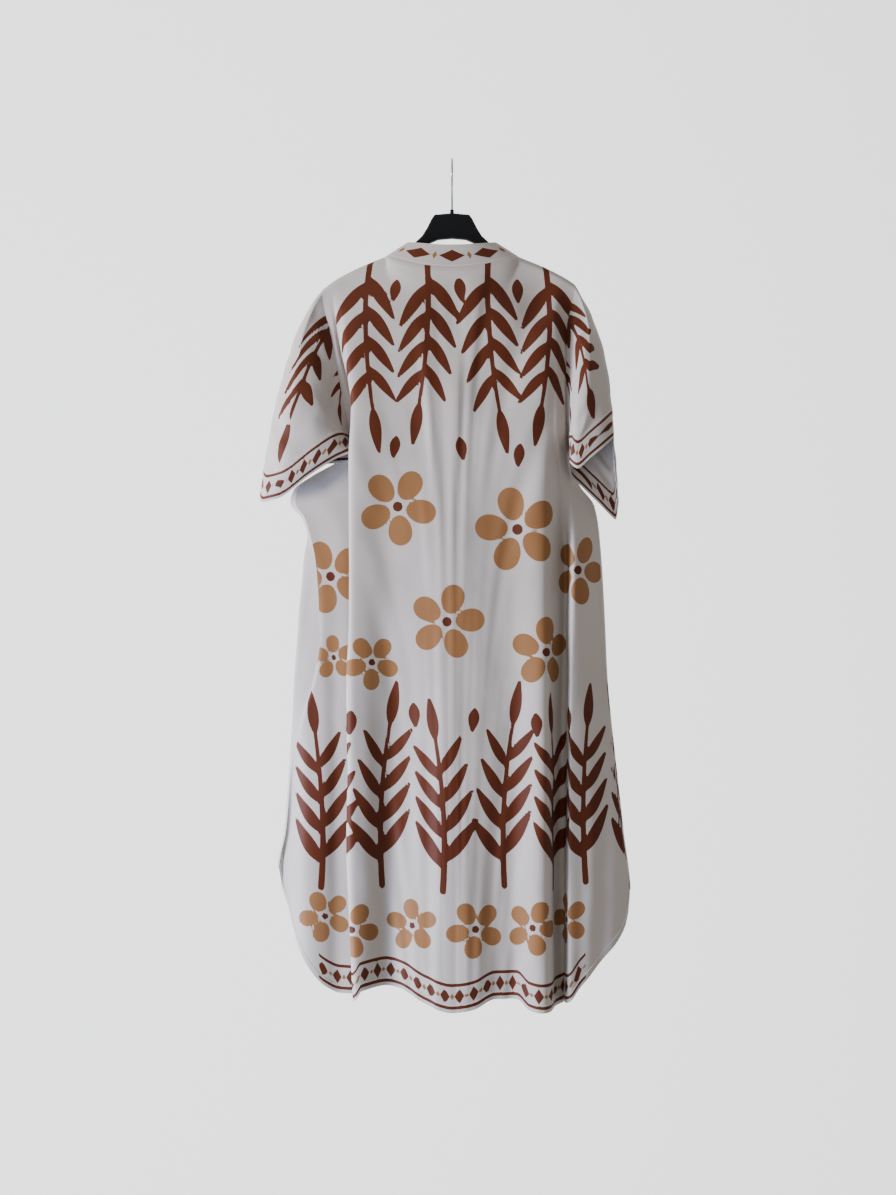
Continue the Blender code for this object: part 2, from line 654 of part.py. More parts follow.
def build_hanger(collection, cutters):
    arm = [Corner(x, float(shoulder_height(np.array([x]))[0]) - ARM_CLEARANCE) for x in HANGER_ARM]
    half = HANGER_TOP + arm + HANGER_END + HANGER_ARCH
    outline = half + [Corner(-corner.x, corner.height) for corner in half[-2:0:-1]]
    curve = bpy.data.curves.new("hanger_outline", "CURVE")
    curve.dimensions = "2D"
    curve.fill_mode = "BOTH"
    curve.extrude = HANGER_DEPTH / 2 * MM
    spline = curve.splines.new("POLY")
    spline.points.add(len(outline) - 1)
    for point, corner in zip(spline.points, outline):
        point.co = (corner.x * MM, corner.height * MM, 0, 1)
    spline.use_cyclic_u = True
    shape = bpy.data.objects.new("hanger_shape", curve)
    shape.rotation_euler = (math.radians(90), 0, 0)
    collection.objects.link(shape)
    bpy.context.view_layer.update()
    evaluated = shape.evaluated_get(bpy.context.evaluated_depsgraph_get())
    data = bpy.data.meshes.new_from_object(evaluated)
    data.transform(shape.matrix_world)
    bpy.data.objects.remove(shape)
    mesh = bmesh.new()
    mesh.from_mesh(data)
    bmesh.ops.remove_doubles(mesh, verts=mesh.verts, dist=0.00001)
    bmesh.ops.recalc_face_normals(mesh, faces=mesh.faces)
    bmesh.ops.dissolve_limit(mesh, angle_limit=math.radians(1), verts=mesh.verts, edges=mesh.edges)
    mesh.to_mesh(data)
    mesh.free()
    hanger = bpy.data.objects.new("hanger_body", data)
    collection.objects.link(hanger)
    finish(hanger, collection, make_material("black_plastic", (0.012, 0.012, 0.013), 0.45))
    bevel = hanger.modifiers.new("rounded_edges", "BEVEL")
    bevel.width = 3.2 * MM
    bevel.segments = 2
    bevel.use_clamp_overlap = False
    bevel.limit_method = "ANGLE"
    bevel.angle_limit = math.radians(60)
    boss = add_cylinder("hanger_boss", BOSS_RADIUS, YOKE_TOP - 12, BOSS_TOP, cutters)
    apply_boolean(hanger, boss, "UNION")
    bore = add_cylinder("hook_bore", HOOK_WIRE / 2 + SEAM_GAP, BOSS_TOP - BORE_DEPTH, BOSS_TOP + 5,
                        cutters)
    apply_boolean(hanger, bore, "DIFFERENCE")


def build_hook(collection):
    """A straight stem that bends into a round arc over the rail, all in the Y-Z plane."""
    radius = HOOK_RADIUS + HOOK_WIRE / 2
    centre = -HOOK_RADIUS
    first, last = math.radians(-48), math.radians(196)
    joint = np.array([radius * math.cos(first), centre + radius * math.sin(first)])
    heading = np.array([-math.sin(first), math.cos(first)])
    foot = np.array([0.0, -64.0])
    steps = np.linspace(0, 1, 7)[:, None]
    bend = hermite(foot, joint, np.array([0.0, 26.0]), heading * 26.0, steps)
    angles = np.linspace(first, last, 25)[1:]
    arc = np.stack([radius * np.cos(angles), centre + radius * np.sin(angles)], axis=-1)
    route = np.concatenate([[[0.0, BOSS_TOP - BORE_DEPTH + SEAM_GAP]], bend, arc])
    curve = bpy.data.curves.new("hook_route", "CURVE")
    curve.dimensions = "3D"
    curve.bevel_depth = HOOK_WIRE / 2 * MM
    curve.bevel_resolution = 2
    curve.use_fill_caps = True
    spline = curve.splines.new("POLY")
    spline.points.add(len(route) - 1)
    for point, (y, z) in zip(spline.points, route):
        point.co = (0, y * MM, z * MM, 1)
    hook = bpy.data.objects.new("hanger_hook", curve)
    collection.objects.link(hook)
    finish(hook, collection, make_material("steel_wire", (0.55, 0.55, 0.54), 0.3, 1.0))


def main():
    for obj in list(bpy.data.objects):
        bpy.data.objects.remove(obj)
    collection = bpy.data.collections.new("maxi_dress")
    cutters = bpy.data.collections.new("cutters")
    bpy.context.scene.collection.children.link(collection)
    bpy.context.scene.collection.children.link(cutters)
    build_garment(collection)
    build_hanger(collection, cutters)
    build_hook(collection)


main()
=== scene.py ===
import math
from collections import namedtuple

import bpy
import numpy as np
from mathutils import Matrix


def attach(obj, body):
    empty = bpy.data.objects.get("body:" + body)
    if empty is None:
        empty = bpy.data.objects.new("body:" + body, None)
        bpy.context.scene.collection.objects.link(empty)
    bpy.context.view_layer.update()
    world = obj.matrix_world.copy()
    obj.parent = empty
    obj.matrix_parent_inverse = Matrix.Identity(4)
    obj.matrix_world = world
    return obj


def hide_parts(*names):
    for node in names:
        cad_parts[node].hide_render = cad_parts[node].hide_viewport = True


# A printed maxi dress, seen from behind, on a plastic hanger with a wire hook.
# Tables and settings are in millimetres, heights from under the top of the hook's arc.
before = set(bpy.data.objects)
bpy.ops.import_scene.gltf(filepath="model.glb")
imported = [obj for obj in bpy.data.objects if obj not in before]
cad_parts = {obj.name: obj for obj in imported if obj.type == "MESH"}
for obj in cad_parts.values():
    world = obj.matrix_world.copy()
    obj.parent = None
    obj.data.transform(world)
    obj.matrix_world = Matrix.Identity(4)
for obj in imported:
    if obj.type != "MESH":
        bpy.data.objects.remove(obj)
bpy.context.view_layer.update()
mm = 0.001
print("frame loaded")

dress = {
    "wall": 0.8,            # cloth and its turned edges
    "wrapRadius": 10.0,     # cloth bending over the hanger's arm
    "underarm": -464.0,
    "neckHalf": 106.0,
    "backNeckDrop": 23.0,
    "backNeckDepth": 28.0,
    "vPoint": -345.0,
    "vDepth": 24.0,
    "widthFade": 70.0,
    "depthFade": 120.0,
    "hemMiddle": -1250.0,
    "frontHemRise": 12.0,
    "tip": 3.6,             # half width of the bend at a fold's crest or valley
}

Shoulder = namedtuple("Shoulder", "x height")
shoulderTable = [Shoulder(*row) for row in (
    (60, -130), (106, -154.5), (149, -172.5), (182, -189.5), (197, -199.5), (209, -209))]

Side = namedtuple("Side", "height x armY seamY frontX")
leftSide = [Side(*row) for row in (
    (-209, -208, 8, 0, -208), (-256, -199, 13, 0, -199), (-304, -190, 14, 0, -190),
    (-395, -173, 14, 0, -173), (-440, -163, 10, 1, -164), (-464, -160, 0, -4, -161),
    (-484, -184, 0, 6, -187), (-506, -222, 0, 8, -227), (-530, -250, 0, 5, -257),
    (-550, -252, 0, 1, -262), (-576, -236, 0, -4, -242), (-602, -228, 0, -6, -233),
    (-645, -219, 0, -8, -239), (-709, -214, 0, -9, -244), (-773, -212, 0, -9, -249),
    (-837, -223, 0, -7, -254), (-900, -243, 0, -3, -258), (-965, -257, 0, 1, -262),
    (-1080, -268, 0, 3, -271), (-1140, -279, 0, 4, -281), (-1400, -281, 0, 4, -282))]
rightSide = [Side(*row) for row in (
    (-200, 197, 8, 0, 197), (-230, 188, 13, 0, 190), (-300, 183, 14, 0, 185),
    (-400, 183, 14, 0, 185), (-440, 185, 10, 2, 186), (-464, 190, 0, 5, 190),
    (-485, 193, 0, 12, 193), (-520, 205, 0, 13, 206), (-555, 229, 0, 10, 231),
    (-600, 236, 0, 4, 238), (-733, 243, 0, 2, 247), (-837, 249, 0, 2, 252),
    (-961, 262, 0, 3, 265), (-1080, 275, 0, 3, 278), (-1180, 287, 0, 4, 289),
    (-1400, 288, 0, 4, 289))]

Fold = namedtuple("Fold", "height crestX tuck crestY valleyY sideY")
leftFold = [Fold(*row) for row in (
    (-190, -181, -9, -12, -10, -9), (-250, -177, -9, -26, -14, -14),
    (-304, -171, -8, -35, -15, -16), (-360, -163, -2, -39, -15, -15),
    (-400, -159, 8, -41, -14, -13), (-450, -160, 26, -43, -14, -11),
    (-480, -161, 29, -44, -12, -5), (-515, -162, 31, -44, -12, -6),
    (-700, -163, 32, -46, -14, -12), (-1100, -163, 32, -50, -15, -12),
    (-1350, -154, 30, -54, -16, -13))]
rightFold = [Fold(*row) for row in (
    (-187, 183, -10, -11, -12, -10), (-250, 176, -9, -20, -32, -20),
    (-440, 176, -10, -22, -34, -20), (-464, 178, -9, -10, -28, -2),
    (-485, 181, -9, -5, -17, 5), (-520, 185, -9, -8, -13, 4), (-575, 188, -8, -17, -10, -3),
    (-640, 190, -5, -28, -6, -12), (-800, 187, -4, -31, -6, -12),
    (-1100, 183, -4, -34, -8, -13), (-1350, 185, -4, -38, -10, -15))]

Wave = namedtuple("Wave", "height leftY middleY rightY outerY")
backWave = [Wave(*row) for row in (
    (-180, -30, -31, -30, -14), (-260, -34, -36, -33, -30), (-340, -39, -41, -37, -39),
    (-464, -42, -46, -40, -41), (-700, -40, -47, -39, -44), (-1100, -38, -51, -37, -48),
    (-1370, -37, -56, -36, -55))]
frontWave = [Wave(*row) for row in (
    (-180, 28, 30, 28, 14), (-260, 32, 30, 32, 26), (-340, 38, 32, 38, 33),
    (-464, 42, 38, 42, 36), (-700, 45, 38, 46, 36), (-1100, 50, 40, 50, 38),
    (-1370, 55, 41, 54, 40))]

Hem = namedtuple("Hem", "x height")
hemTable = [Hem(*row) for row in (
    (-279, -1141), (-277, -1168), (-266, -1200), (-248, -1257), (-230, -1293), (-205, -1325),
    (-181, -1338), (-158, -1339), (-146, -1322), (-110, -1318), (-80, -1323), (-42, -1343),
    (0, -1356), (30, -1352), (66, -1338), (105, -1338), (124, -1354), (143, -1357),
    (176, -1352), (202, -1323), (224, -1299), (248, -1272), (267, -1251), (281, -1224),
    (287, -1182))]

Ring = namedtuple("Ring", "around x y height")
leftCuff = [Ring(*row) for row in (
    (0.00, -308, -8, -541), (0.06, -303, -27, -552), (0.15, -277, -38, -547),
    (0.28, -228, -40, -512), (0.40, -182, -34, -482), (0.47, -158, -29, -473),
    (0.51, -158, -22, -487), (0.56, -169, -16, -488), (0.66, -206, -11, -490),
    (0.78, -244, -3, -498), (0.92, -292, 6, -526))]
rightCuff = [Ring(*row) for row in (
    (0.00, 258, -30, -450), (0.12, 222, -40, -480), (0.23, 199, -38, -499),
    (0.32, 188, -31, -490), (0.42, 187, -22, -488), (0.51, 191, -12, -508),
    (0.60, 210, -10, -527), (0.70, 240, -6, -556), (0.78, 264, 0, -578),
    (0.86, 268, 2, -550), (0.94, 259, -8, -488))]


def ease(share):
    share = np.clip(share, 0, 1)
    return share * share * (3 - 2 * share)


def hermite(start, end, leaving, arriving, share):
    square, cube = share ** 2, share ** 3
    return (start * (2 * cube - 3 * square + 1) + leaving * (cube - 2 * square + share)
            + end * (3 * square - 2 * cube) + arriving * (cube - square))


def readTable(rows, name, at, key="height"):
    # one column of a table along its key, as a curve that never overshoots
    keys = np.array([getattr(row, key) for row in rows], float)
    values = np.array([getattr(row, name) for row in rows], float)
    order = np.argsort(keys)
    keys, values = keys[order], values[order]
    step = np.diff(keys)
    rise = np.diff(values) / step
    slope = np.zeros(len(keys))
    before, after = rise[:-1], rise[1:]
    sameWay = before * after > 0
    slope[1:-1] = np.where(sameWay, 2 * before * after / np.where(sameWay, before + after, 1), 0)
    slope[0], slope[-1] = rise[0], rise[-1]
    at = np.clip(at, keys[0], keys[-1])
    part = np.clip(np.searchsorted(keys, at, side="right") - 1, 0, len(step) - 1)
    return hermite(values[part], values[part + 1], slope[part] * step[part],
                   slope[part + 1] * step[part], (at - keys[part]) / step[part])


def stationGrid(points, columns):
    # spline through station points, with the given number of columns between them
    span = np.sqrt(np.maximum(np.linalg.norm(np.diff(points, axis=0), axis=2), 0.5))[..., None]
    rate = np.diff(points, axis=0) / span
    tangent = np.empty_like(points)
    tangent[1:-1] = (rate[1:] * span[:-1] + rate[:-1] * span[1:]) / (span[:-1] + span[1:])
    tangent[0], tangent[-1] = rate[0], rate[-1]
    strips = [hermite(points[part], points[part + 1], tangent[part] * span[part],
                      tangent[part + 1] * span[part], step / count)
              for part, count in enumerate(columns) for step in range(count)]
    return np.array(strips + [points[-1]])


def softNoise(across, along, seed):
    # smooth random hills between -1 and 1, one to each unit square
    size = 64
    hills = np.random.default_rng(seed).uniform(-1, 1, (size, size))
    left, low = np.floor(across).astype(int), np.floor(along).astype(int)
    right, up = ease(across - left), ease(along - low)

    def corner(i, j):
        return hills[(left + i) % size, (low + j) % size]
    return ((corner(0, 0) * (1 - right) + corner(1, 0) * right) * (1 - up)
            + (corner(0, 1) * (1 - right) + corner(1, 1) * right) * up)


def unit(vectors):
    return vectors / np.maximum(np.linalg.norm(vectors, axis=-1, keepdims=True), 1e-9)


def distanceAlong(points, axis):
    # running length along one axis of a grid, zero at its start
    steps = np.linalg.norm(np.diff(points, axis=axis), axis=2)
    start = np.zeros_like(np.take(steps, [0], axis=axis))
    return np.concatenate([start, np.cumsum(steps, axis=axis)], axis=axis)


# the panels' surface, as in the CAD model but with many more columns and rows
shoulderEnds = (-208.0, 197.0)
neckStations = (6, 8)
topStations = np.array([shoulderEnds[0], -199, -192, -188, -183, -178, -106, 0, 106, 150, 169,
                        173, 181, 185, shoulderEnds[1]], float)


def shoulderHeight(x):
    return readTable(shoulderTable, "height", np.abs(x), "x")


def neckCurve(side, x):
    # depth and height of the neck seam at x, for the back (side -1) or the front
    share = np.clip(np.abs(x) / dress["neckHalf"], 0, 1)
    height = shoulderHeight(np.maximum(np.abs(x), dress["neckHalf"]))
    if side < 0:
        bend = np.sqrt(np.clip(1 - share ** 2, 0, 1))
        return (-dress["backNeckDepth"] * bend ** 0.8, height - dress["backNeckDrop"] * bend ** 2)
    return (dress["vDepth"] * (1 - share) ** 0.35,
            height + (dress["vPoint"] - height) * (1 - share) ** 1.3)


def topLine(side, columns):
    x = stationGrid(np.repeat(topStations[:, None, None], 3, axis=2), columns)[:, 0, 0]
    first, last = sum(columns[:neckStations[0]]), sum(columns[:neckStations[1]])
    x[first:last + 1] = -dress["neckHalf"] * np.cos(np.linspace(0, math.pi, last - first + 1))
    depth, height = neckCurve(side, x)
    depth[:first + 1] = depth[last:] = 0
    height[:first + 1] = shoulderHeight(x[:first + 1])
    height[last:] = shoulderHeight(x[last:])
    return x, depth, height


def backStations(height):
    left = {name: readTable(leftFold, name, height) for name in Fold._fields[1:]}
    right = {name: readTable(rightFold, name, height) for name in Fold._fields[1:]}
    wave = {name: readTable(backWave, name, height) for name in Wave._fields[1:]}
    leftX, rightX = (readTable(table, "x", height) for table in (leftSide, rightSide))
    leftY = readTable(leftSide, "seamY", height) - readTable(leftSide, "armY", height)
    rightY = readTable(rightSide, "seamY", height) - readTable(rightSide, "armY", height)
    leftValley, rightValley = left["crestX"] + left["tuck"], right["crestX"] + right["tuck"]
    tip = dress["tip"]
    leftTip = tip * np.clip((left["valleyY"] - left["crestY"]) / 20, 0, 1)
    rightTip = tip / 2 * np.clip((right["valleyY"] - right["crestY"]) / 15, -1, 1)
    flat = np.zeros_like(height)
    rows = [(leftX, leftY), ((leftX + leftValley) / 2, left["sideY"]),
            (leftValley, left["valleyY"] + leftTip),
            (leftValley + tip / 2, left["valleyY"] - leftTip),
            (left["crestX"], left["crestY"] + leftTip),
            (left["crestX"] + tip, left["crestY"] - leftTip / 2),
            (flat - 100, wave["leftY"]), (flat, wave["middleY"]), (flat + 92, wave["rightY"]),
            (flat + 147, wave["outerY"]), (rightValley - tip, right["valleyY"]),
            (rightValley, right["valleyY"] - rightTip),
            (right["crestX"], right["crestY"] + rightTip),
            (right["crestX"] + tip, right["crestY"] - rightTip), (rightX, rightY)]
    return np.array([np.stack([x, y, height], axis=-1) for x, y in rows])


def frontStations(height):
    wave = {name: readTable(frontWave, name, height) for name in Wave._fields[1:]}
    leftX, rightX = (readTable(table, "x", height) for table in (leftSide, rightSide))
    leftY, rightY = (readTable(table, "seamY", height) + readTable(table, "armY", height)
                     for table in (leftSide, rightSide))
    leftTurn, rightTurn = (readTable(table, "frontX", height) for table in (leftSide, rightSide))
    flat = np.zeros_like(height)
    closed = ease((-440 - height) / 90)
    drawnIn = 1 - 0.03 * (1 - closed)
    outer = wave["outerY"]
    rows = [(leftX, leftY), (leftTurn * drawnIn, leftY + 3 + 6 * closed),
            (leftTurn * 0.95, leftY + 7 + 8 * closed), (leftTurn * 0.92, leftY + 10 + 8 * closed),
            (leftTurn * 0.86, outer * 0.80), (leftTurn * 0.82, outer * 0.86),
            (flat - 98, wave["leftY"]), (flat, wave["middleY"]), (flat + 98, wave["rightY"]),
            (rightTurn * 0.70, outer), (rightTurn * 0.82, outer * 0.86),
            (rightTurn * 0.86, outer * 0.80), (rightTurn * 0.92, rightY + 10 + 8 * closed),
            (rightTurn * drawnIn, rightY + 3 + 6 * closed), (rightX, rightY)]
    return np.array([np.stack([x, y, height], axis=-1) for x, y in rows])


def rowPlaces(perTurn, perUpper, lower=0, hemRows=0, hemShare=0.068):
    # 0 at the seam, 4 below the bend over the arm, 11 at the underarm, 12 at the hem
    parts = [np.arange(4 * perTurn) / perTurn, 4 + np.arange(7 * perUpper) / perUpper, [11.0]]
    if lower:
        parts.append(11 + (1 - hemShare) * np.arange(1, lower + 1) / lower)
        parts.append(12 - hemShare * (1 - np.arange(1, hemRows + 1) / hemRows))
    return np.concatenate(parts)


def rowHeight(place, top, hemLine):
    if place <= 4:
        return top - dress["wrapRadius"] * (1 - math.cos(math.radians(22.5 * place)))
    start = top - dress["wrapRadius"]
    if place <= 11:
        share = math.sin((place - 4) / 7 * math.pi / 2) ** 1.3
        return start + (dress["underarm"] - start) * share
    return dress["underarm"] + (hemLine - dress["underarm"]) * (place - 11)


def hangFromTop(points, side, top):
    # near the shoulder and neck seams the cloth keeps their line and bends over the arm
    topX, topY, topZ = top
    fallen = topZ - points[..., 2]
    turn = np.sqrt(np.clip(1 - (1 - np.clip(fallen / dress["wrapRadius"], 0, 1)) ** 2, 0, 1))
    upperY = side * np.sqrt(topY ** 2 + (dress["wrapRadius"] * turn) ** 2)
    points[..., 0] += (topX - points[..., 0]) * (1 - ease(fallen / dress["widthFade"]))
    points[..., 1] += (upperY - points[..., 1]) * (1 - ease(fallen / dress["depthFade"]))
    return points


def panelGrid(side, columns, places):
    stationsAt = backStations if side < 0 else frontStations
    top = topLine(side, columns)
    count = len(top[0])
    atMiddle = stationGrid(stationsAt(np.full(1, dress["hemMiddle"])), columns)[:, 0, 0]
    hemLine = readTable(hemTable, "height", atMiddle, "x")
    if side > 0:
        hemLine += dress["frontHemRise"] * ease((hemTable[0].height - hemLine) / 80)
    points = np.empty((count, len(places), 3))
    diagonal = np.arange(count)
    for row, place in enumerate(places):
        height = rowHeight(place, top[2], hemLine)
        points[:, row] = stationGrid(stationsAt(height), columns)[diagonal, diagonal]
        points[:, row] = hangFromTop(points[:, row], side, top)
    return points


def armholeEdge(side, end, places):
    stationsAt = backStations if side < 0 else frontStations
    x = np.array(shoulderEnds[end])
    top = (x, np.zeros(()), shoulderHeight(x))
    heights = np.array([rowHeight(place, top[2], None) for place in places], float)
    return hangFromTop(stationsAt(heights)[end], side, top)


Drape = namedtuple("Drape", "leave under arrive backBulge frontBulge outer")
sleeves = {
    "sleeve_left": {"end": 0, "cuff": leftCuff, "seed": 31,
                    "drape": Drape((-0.55, 0, -0.83), (-1, -0.5, 0), (-0.28, 0, -0.96), 20, 4, 8)},
    "sleeve_right": {"end": -1, "cuff": rightCuff, "seed": 47,
                     "drape": Drape((0.5, 0, -0.86), (1, 0, 0.1), (0.12, 0, -0.99), 20, 6, 6)},
}


def sleeveGrid(settings, places, rows):
    # around by along, from the shoulder's end down the back of the armhole and up its front
    behind = armholeEdge(-1, settings["end"], places)
    ahead = armholeEdge(1, settings["end"], places)
    loop = np.concatenate([behind, ahead[-2:0:-1]])
    turn = np.concatenate([places, (22 - places)[-2:0:-1]])
    cuff, drape = settings["cuff"], settings["drape"]
    wrapped = [row._replace(around=row.around - 1) for row in cuff] + cuff
    wrapped += [row._replace(around=row.around + 1) for row in cuff]
    ring = np.stack([readTable(wrapped, name, turn / 22, "around")
                     for name in ("x", "y", "height")], axis=-1)
    length = np.linalg.norm(ring - loop, axis=1, keepdims=True)
    near = (0.62 ** np.abs(turn - 11))[:, None]
    heading = np.array(drape.leave) * (1 - near) + np.array(drape.under) * near
    leaving = loop + heading * length * 0.30
    arriving = ring - np.array(drape.arrive) * length * 0.25
    angle = 2 * math.pi * turn / 22
    back, front = np.maximum(np.sin(angle), 0), np.maximum(-np.sin(angle), 0)
    outer = np.maximum(np.cos(angle), 0) ** 2
    grid = []
    for share in np.linspace(0, 1, rows + 1):
        rest = 1 - share
        row = (loop * rest ** 3 + leaving * 3 * share * rest ** 2
               + arriving * 3 * share ** 2 * rest + ring * share ** 3)
        swell = math.sin(math.pi * share)
        row[:, 1] += (drape.frontBulge * front - drape.backBulge * back) * swell
        row[:, 0] += math.copysign(1, drape.leave[0]) * drape.outer * outer * swell
        grid.append(row)
    return np.stack(grid, axis=1), turn


def surfaceNormals(points, closed, outward):
    # outward is a direction for each point that the outside faces, more or less
    if closed:
        across = np.roll(points, -1, axis=0) - np.roll(points, 1, axis=0)
    else:
        across = np.gradient(points, axis=0)
    normals = unit(np.cross(across, np.gradient(points, axis=1)))
    return normals * math.copysign(1, np.sum(normals * outward))


# the print: ordinary leafy sprigs, five-petal flowers, seeds and a diamond border,
# drawn as signed distances in millimetres on the flat cloth
inkFree = 9.0       # a distance at which no ink shows


def newCanvas(across, down):
    return {"u": across, "v": down, "brown": np.full(across.shape, inkFree),
            "tan": np.full(across.shape, inkFree)}


def inkIn(canvas, ink, distance):
    canvas[ink] = np.minimum(canvas[ink], distance)


leafShape = {"tipRadius": 2.6,      # tips are rounded, as a screen prints them
             "fullness": 0.8}


def leaf(canvas, ink, base, heading, length, width, bend=0.0):
    turn = math.radians(heading)
    u, v = canvas["u"] - base[0], canvas["v"] - base[1]
    along = u * math.cos(turn) + v * math.sin(turn)
    side = v * math.cos(turn) - u * math.sin(turn)
    share = np.clip(along / length, 0, 1)
    side = np.abs(side - bend * length * share ** 2)
    tip = leafShape["tipRadius"]
    half = tip + (width / 2 - tip) * np.sin(math.pi * share ** leafShape["fullness"])
    inkIn(canvas, ink, np.hypot(along - share * length, side) - half)


sprigLook = {
    "stemWidth": 10.0, "thinning": 0.45,
    "stemShare": 0.84,          # of the sprig's length, the rest is the leaf at its tip
    "firstPair": 0.16, "pairSpan": 0.76, "shrink": 0.34,
    "spread": 40, "leafBend": 0.08, "stagger": 0.03,
    "tipLength": 0.22, "tipWidth": 0.85, "tipOverlap": 4.0,
}


def stem(canvas, ink, start, middle, end, width):
    # a curved line of short straight runs, which thins towards its end
    shares = np.linspace(0, 1, 13)[:, None]
    route = (np.array(start) * (1 - shares) ** 2 + 2 * np.array(middle) * shares * (1 - shares)
             + np.array(end) * shares ** 2)
    for first, last, share in zip(route[:-1], route[1:], shares[:-1, 0]):
        run = last - first
        u, v = canvas["u"] - first[0], canvas["v"] - first[1]
        near = np.clip((u * run[0] + v * run[1]) / (run @ run), 0, 1)
        gap = np.hypot(u - near * run[0], v - near * run[1])
        inkIn(canvas, ink, gap - width / 2 * (1 - sprigLook["thinning"] * share))
    return route


def sprig(canvas, base, heading, length, curl, pairs=4, leafLength=86.0, leafWidth=22.0):
    # a stem with pairs of pointed leaves that shorten towards its tip, and one at the tip
    turn = math.radians(heading)
    ahead, aside = (np.array([math.cos(turn), math.sin(turn)]),
                    np.array([-math.sin(turn), math.cos(turn)]))
    end = np.array(base) + ahead * length * sprigLook["stemShare"]
    middle = (np.array(base) + end) / 2 + aside * curl * length
    route = stem(canvas, "brown", base, middle, end, sprigLook["stemWidth"])
    for pair in range(pairs):
        place = sprigLook["firstPair"] + sprigLook["pairSpan"] * pair / pairs
        spot = place * (len(route) - 1)
        low = int(spot)
        point = route[low] + (route[low + 1] - route[low]) * (spot - low)
        run = route[low + 1] - route[low]
        course = math.degrees(math.atan2(run[1], run[0]))
        size = 1 - sprigLook["shrink"] * place
        for hand in (-1, 1):
            shift = sprigLook["stagger"] * length * (hand > 0)
            leaf(canvas, "brown", point + unit(run) * shift,
                 course + hand * sprigLook["spread"], leafLength * size, leafWidth * size,
                 -sprigLook["leafBend"] * hand)
    run = route[-1] - route[-2]
    leaf(canvas, "brown", route[-1] - unit(run) * sprigLook["tipOverlap"],
         math.degrees(math.atan2(run[1], run[0])), length * sprigLook["tipLength"],
         leafWidth * sprigLook["tipWidth"])


flowerLook = {      # shares of the flower's radius
    "petals": 5, "petalMiddle": 0.61, "petalHalfLength": 0.39,
    "petalHalfWidth": 0.25, "petalFlare": 0.09, "eye": 0.13,
    "edgeSlope": 0.28,  # turns the stretched reach into millimetres at the edge
}


def flower(canvas, centre, radius, turn):
    look = flowerLook
    u, v = canvas["u"] - centre[0], canvas["v"] - centre[1]
    for petal in range(look["petals"]):
        heading = math.radians(turn + 360 / look["petals"] * petal)
        along = u * math.cos(heading) + v * math.sin(heading)
        side = v * math.cos(heading) - u * math.sin(heading)
        reach = np.hypot((along - look["petalMiddle"] * radius) / look["petalHalfLength"],
                         side / (look["petalHalfWidth"] + look["petalFlare"] * along / radius))
        inkIn(canvas, "tan", (reach - radius) * look["edgeSlope"])
    inkIn(canvas, "brown", np.hypot(u, v) - radius * look["eye"])


def diamonds(canvas, ink, along, across, middle, pitch, halfLength, halfWidth, offset=0.0):
    place = (along / pitch + offset) % 1 - 0.5
    reach = np.abs(place * pitch) / halfLength + np.abs(across - middle) / halfWidth - 1
    inkIn(canvas, ink, reach * min(halfLength, halfWidth) * 0.7)


borderLook = {"lines": (8.0, 43.0), "lineWidth": 5.0, "middle": 25.5, "pitch": 22.0,
              "large": (0.34, 12.5),    # half length as a share of the pitch, half width
              "small": (0.17, 5.0),
              "clear": 50.0}            # no other motifs this close to the edge


def border(canvas, along, fromEdge, pitch):
    # two thin lines with a row of diamonds between them, large brown and small tan
    for middle in borderLook["lines"]:
        inkIn(canvas, "brown", np.abs(fromEdge - middle) - borderLook["lineWidth"] / 2)
    for ink, size, offset in (("brown", "large", 0.0), ("tan", "small", 0.5)):
        share, halfWidth = borderLook[size]
        diamonds(canvas, ink, along, fromEdge, borderLook["middle"], pitch, pitch * share,
                 halfWidth, offset)


backPrint = {
    "sprigs": [     # base across and down, heading, length, curl
        (-134, 150, 88, 310, 0.05), (-40, 158, 93, 290, -0.05), (58, 152, 86, 310, 0.05),
        (154, 160, 93, 290, -0.05),
        (-300, 1168, -92, 300, 0.04), (-206, 1180, -89, 300, 0.04), (-112, 1160, -87, 310, -0.05),
        (-14, 1166, -93, 290, 0.05), (84, 1160, -87, 310, -0.05), (176, 1168, -92, 300, 0.04),
        (262, 1156, -90, 300, -0.04), (350, 1166, -91, 290, 0.04)],
    "flowers": [    # centre across and down, radius, turn
        (-86, 560, 62, 12), (104, 596, 68, 40), (-8, 742, 60, 68), (-282, 670, 60, 30),
        (236, 660, 56, 5), (150, 790, 56, 55), (-128, 806, 44, 20), (-278, 800, 36, 50),
        (-294, 1214, 42, 30), (-162, 1226, 44, 10), (-64, 1222, 42, 50), (36, 1226, 46, 25),
        (132, 1224, 44, 5), (226, 1216, 42, 35)],
    "seeds": [      # across, down, heading, length
        (10, 196, 80, 36), (-88, 198, 100, 34), (106, 196, 90, 36), (12, 452, 80, 34),
        (-88, 450, 100, 32), (108, 462, 96, 34), (-62, 872, 84, 36), (36, 880, 98, 34),
        (134, 888, 86, 34), (-160, 884, 94, 34), (-250, 900, 90, 34), (222, 880, 84, 34)],
}

# the front has no motifs beside its side seams, where they would meet the back's
frontReach = {"sprigs": 270, "flowers": 225, "seeds": 225}
frontPrint = {kind: [place for place in places if abs(place[0]) < frontReach[kind]]
              for kind, places in backPrint.items()}


seedWidth = 0.52        # of its length


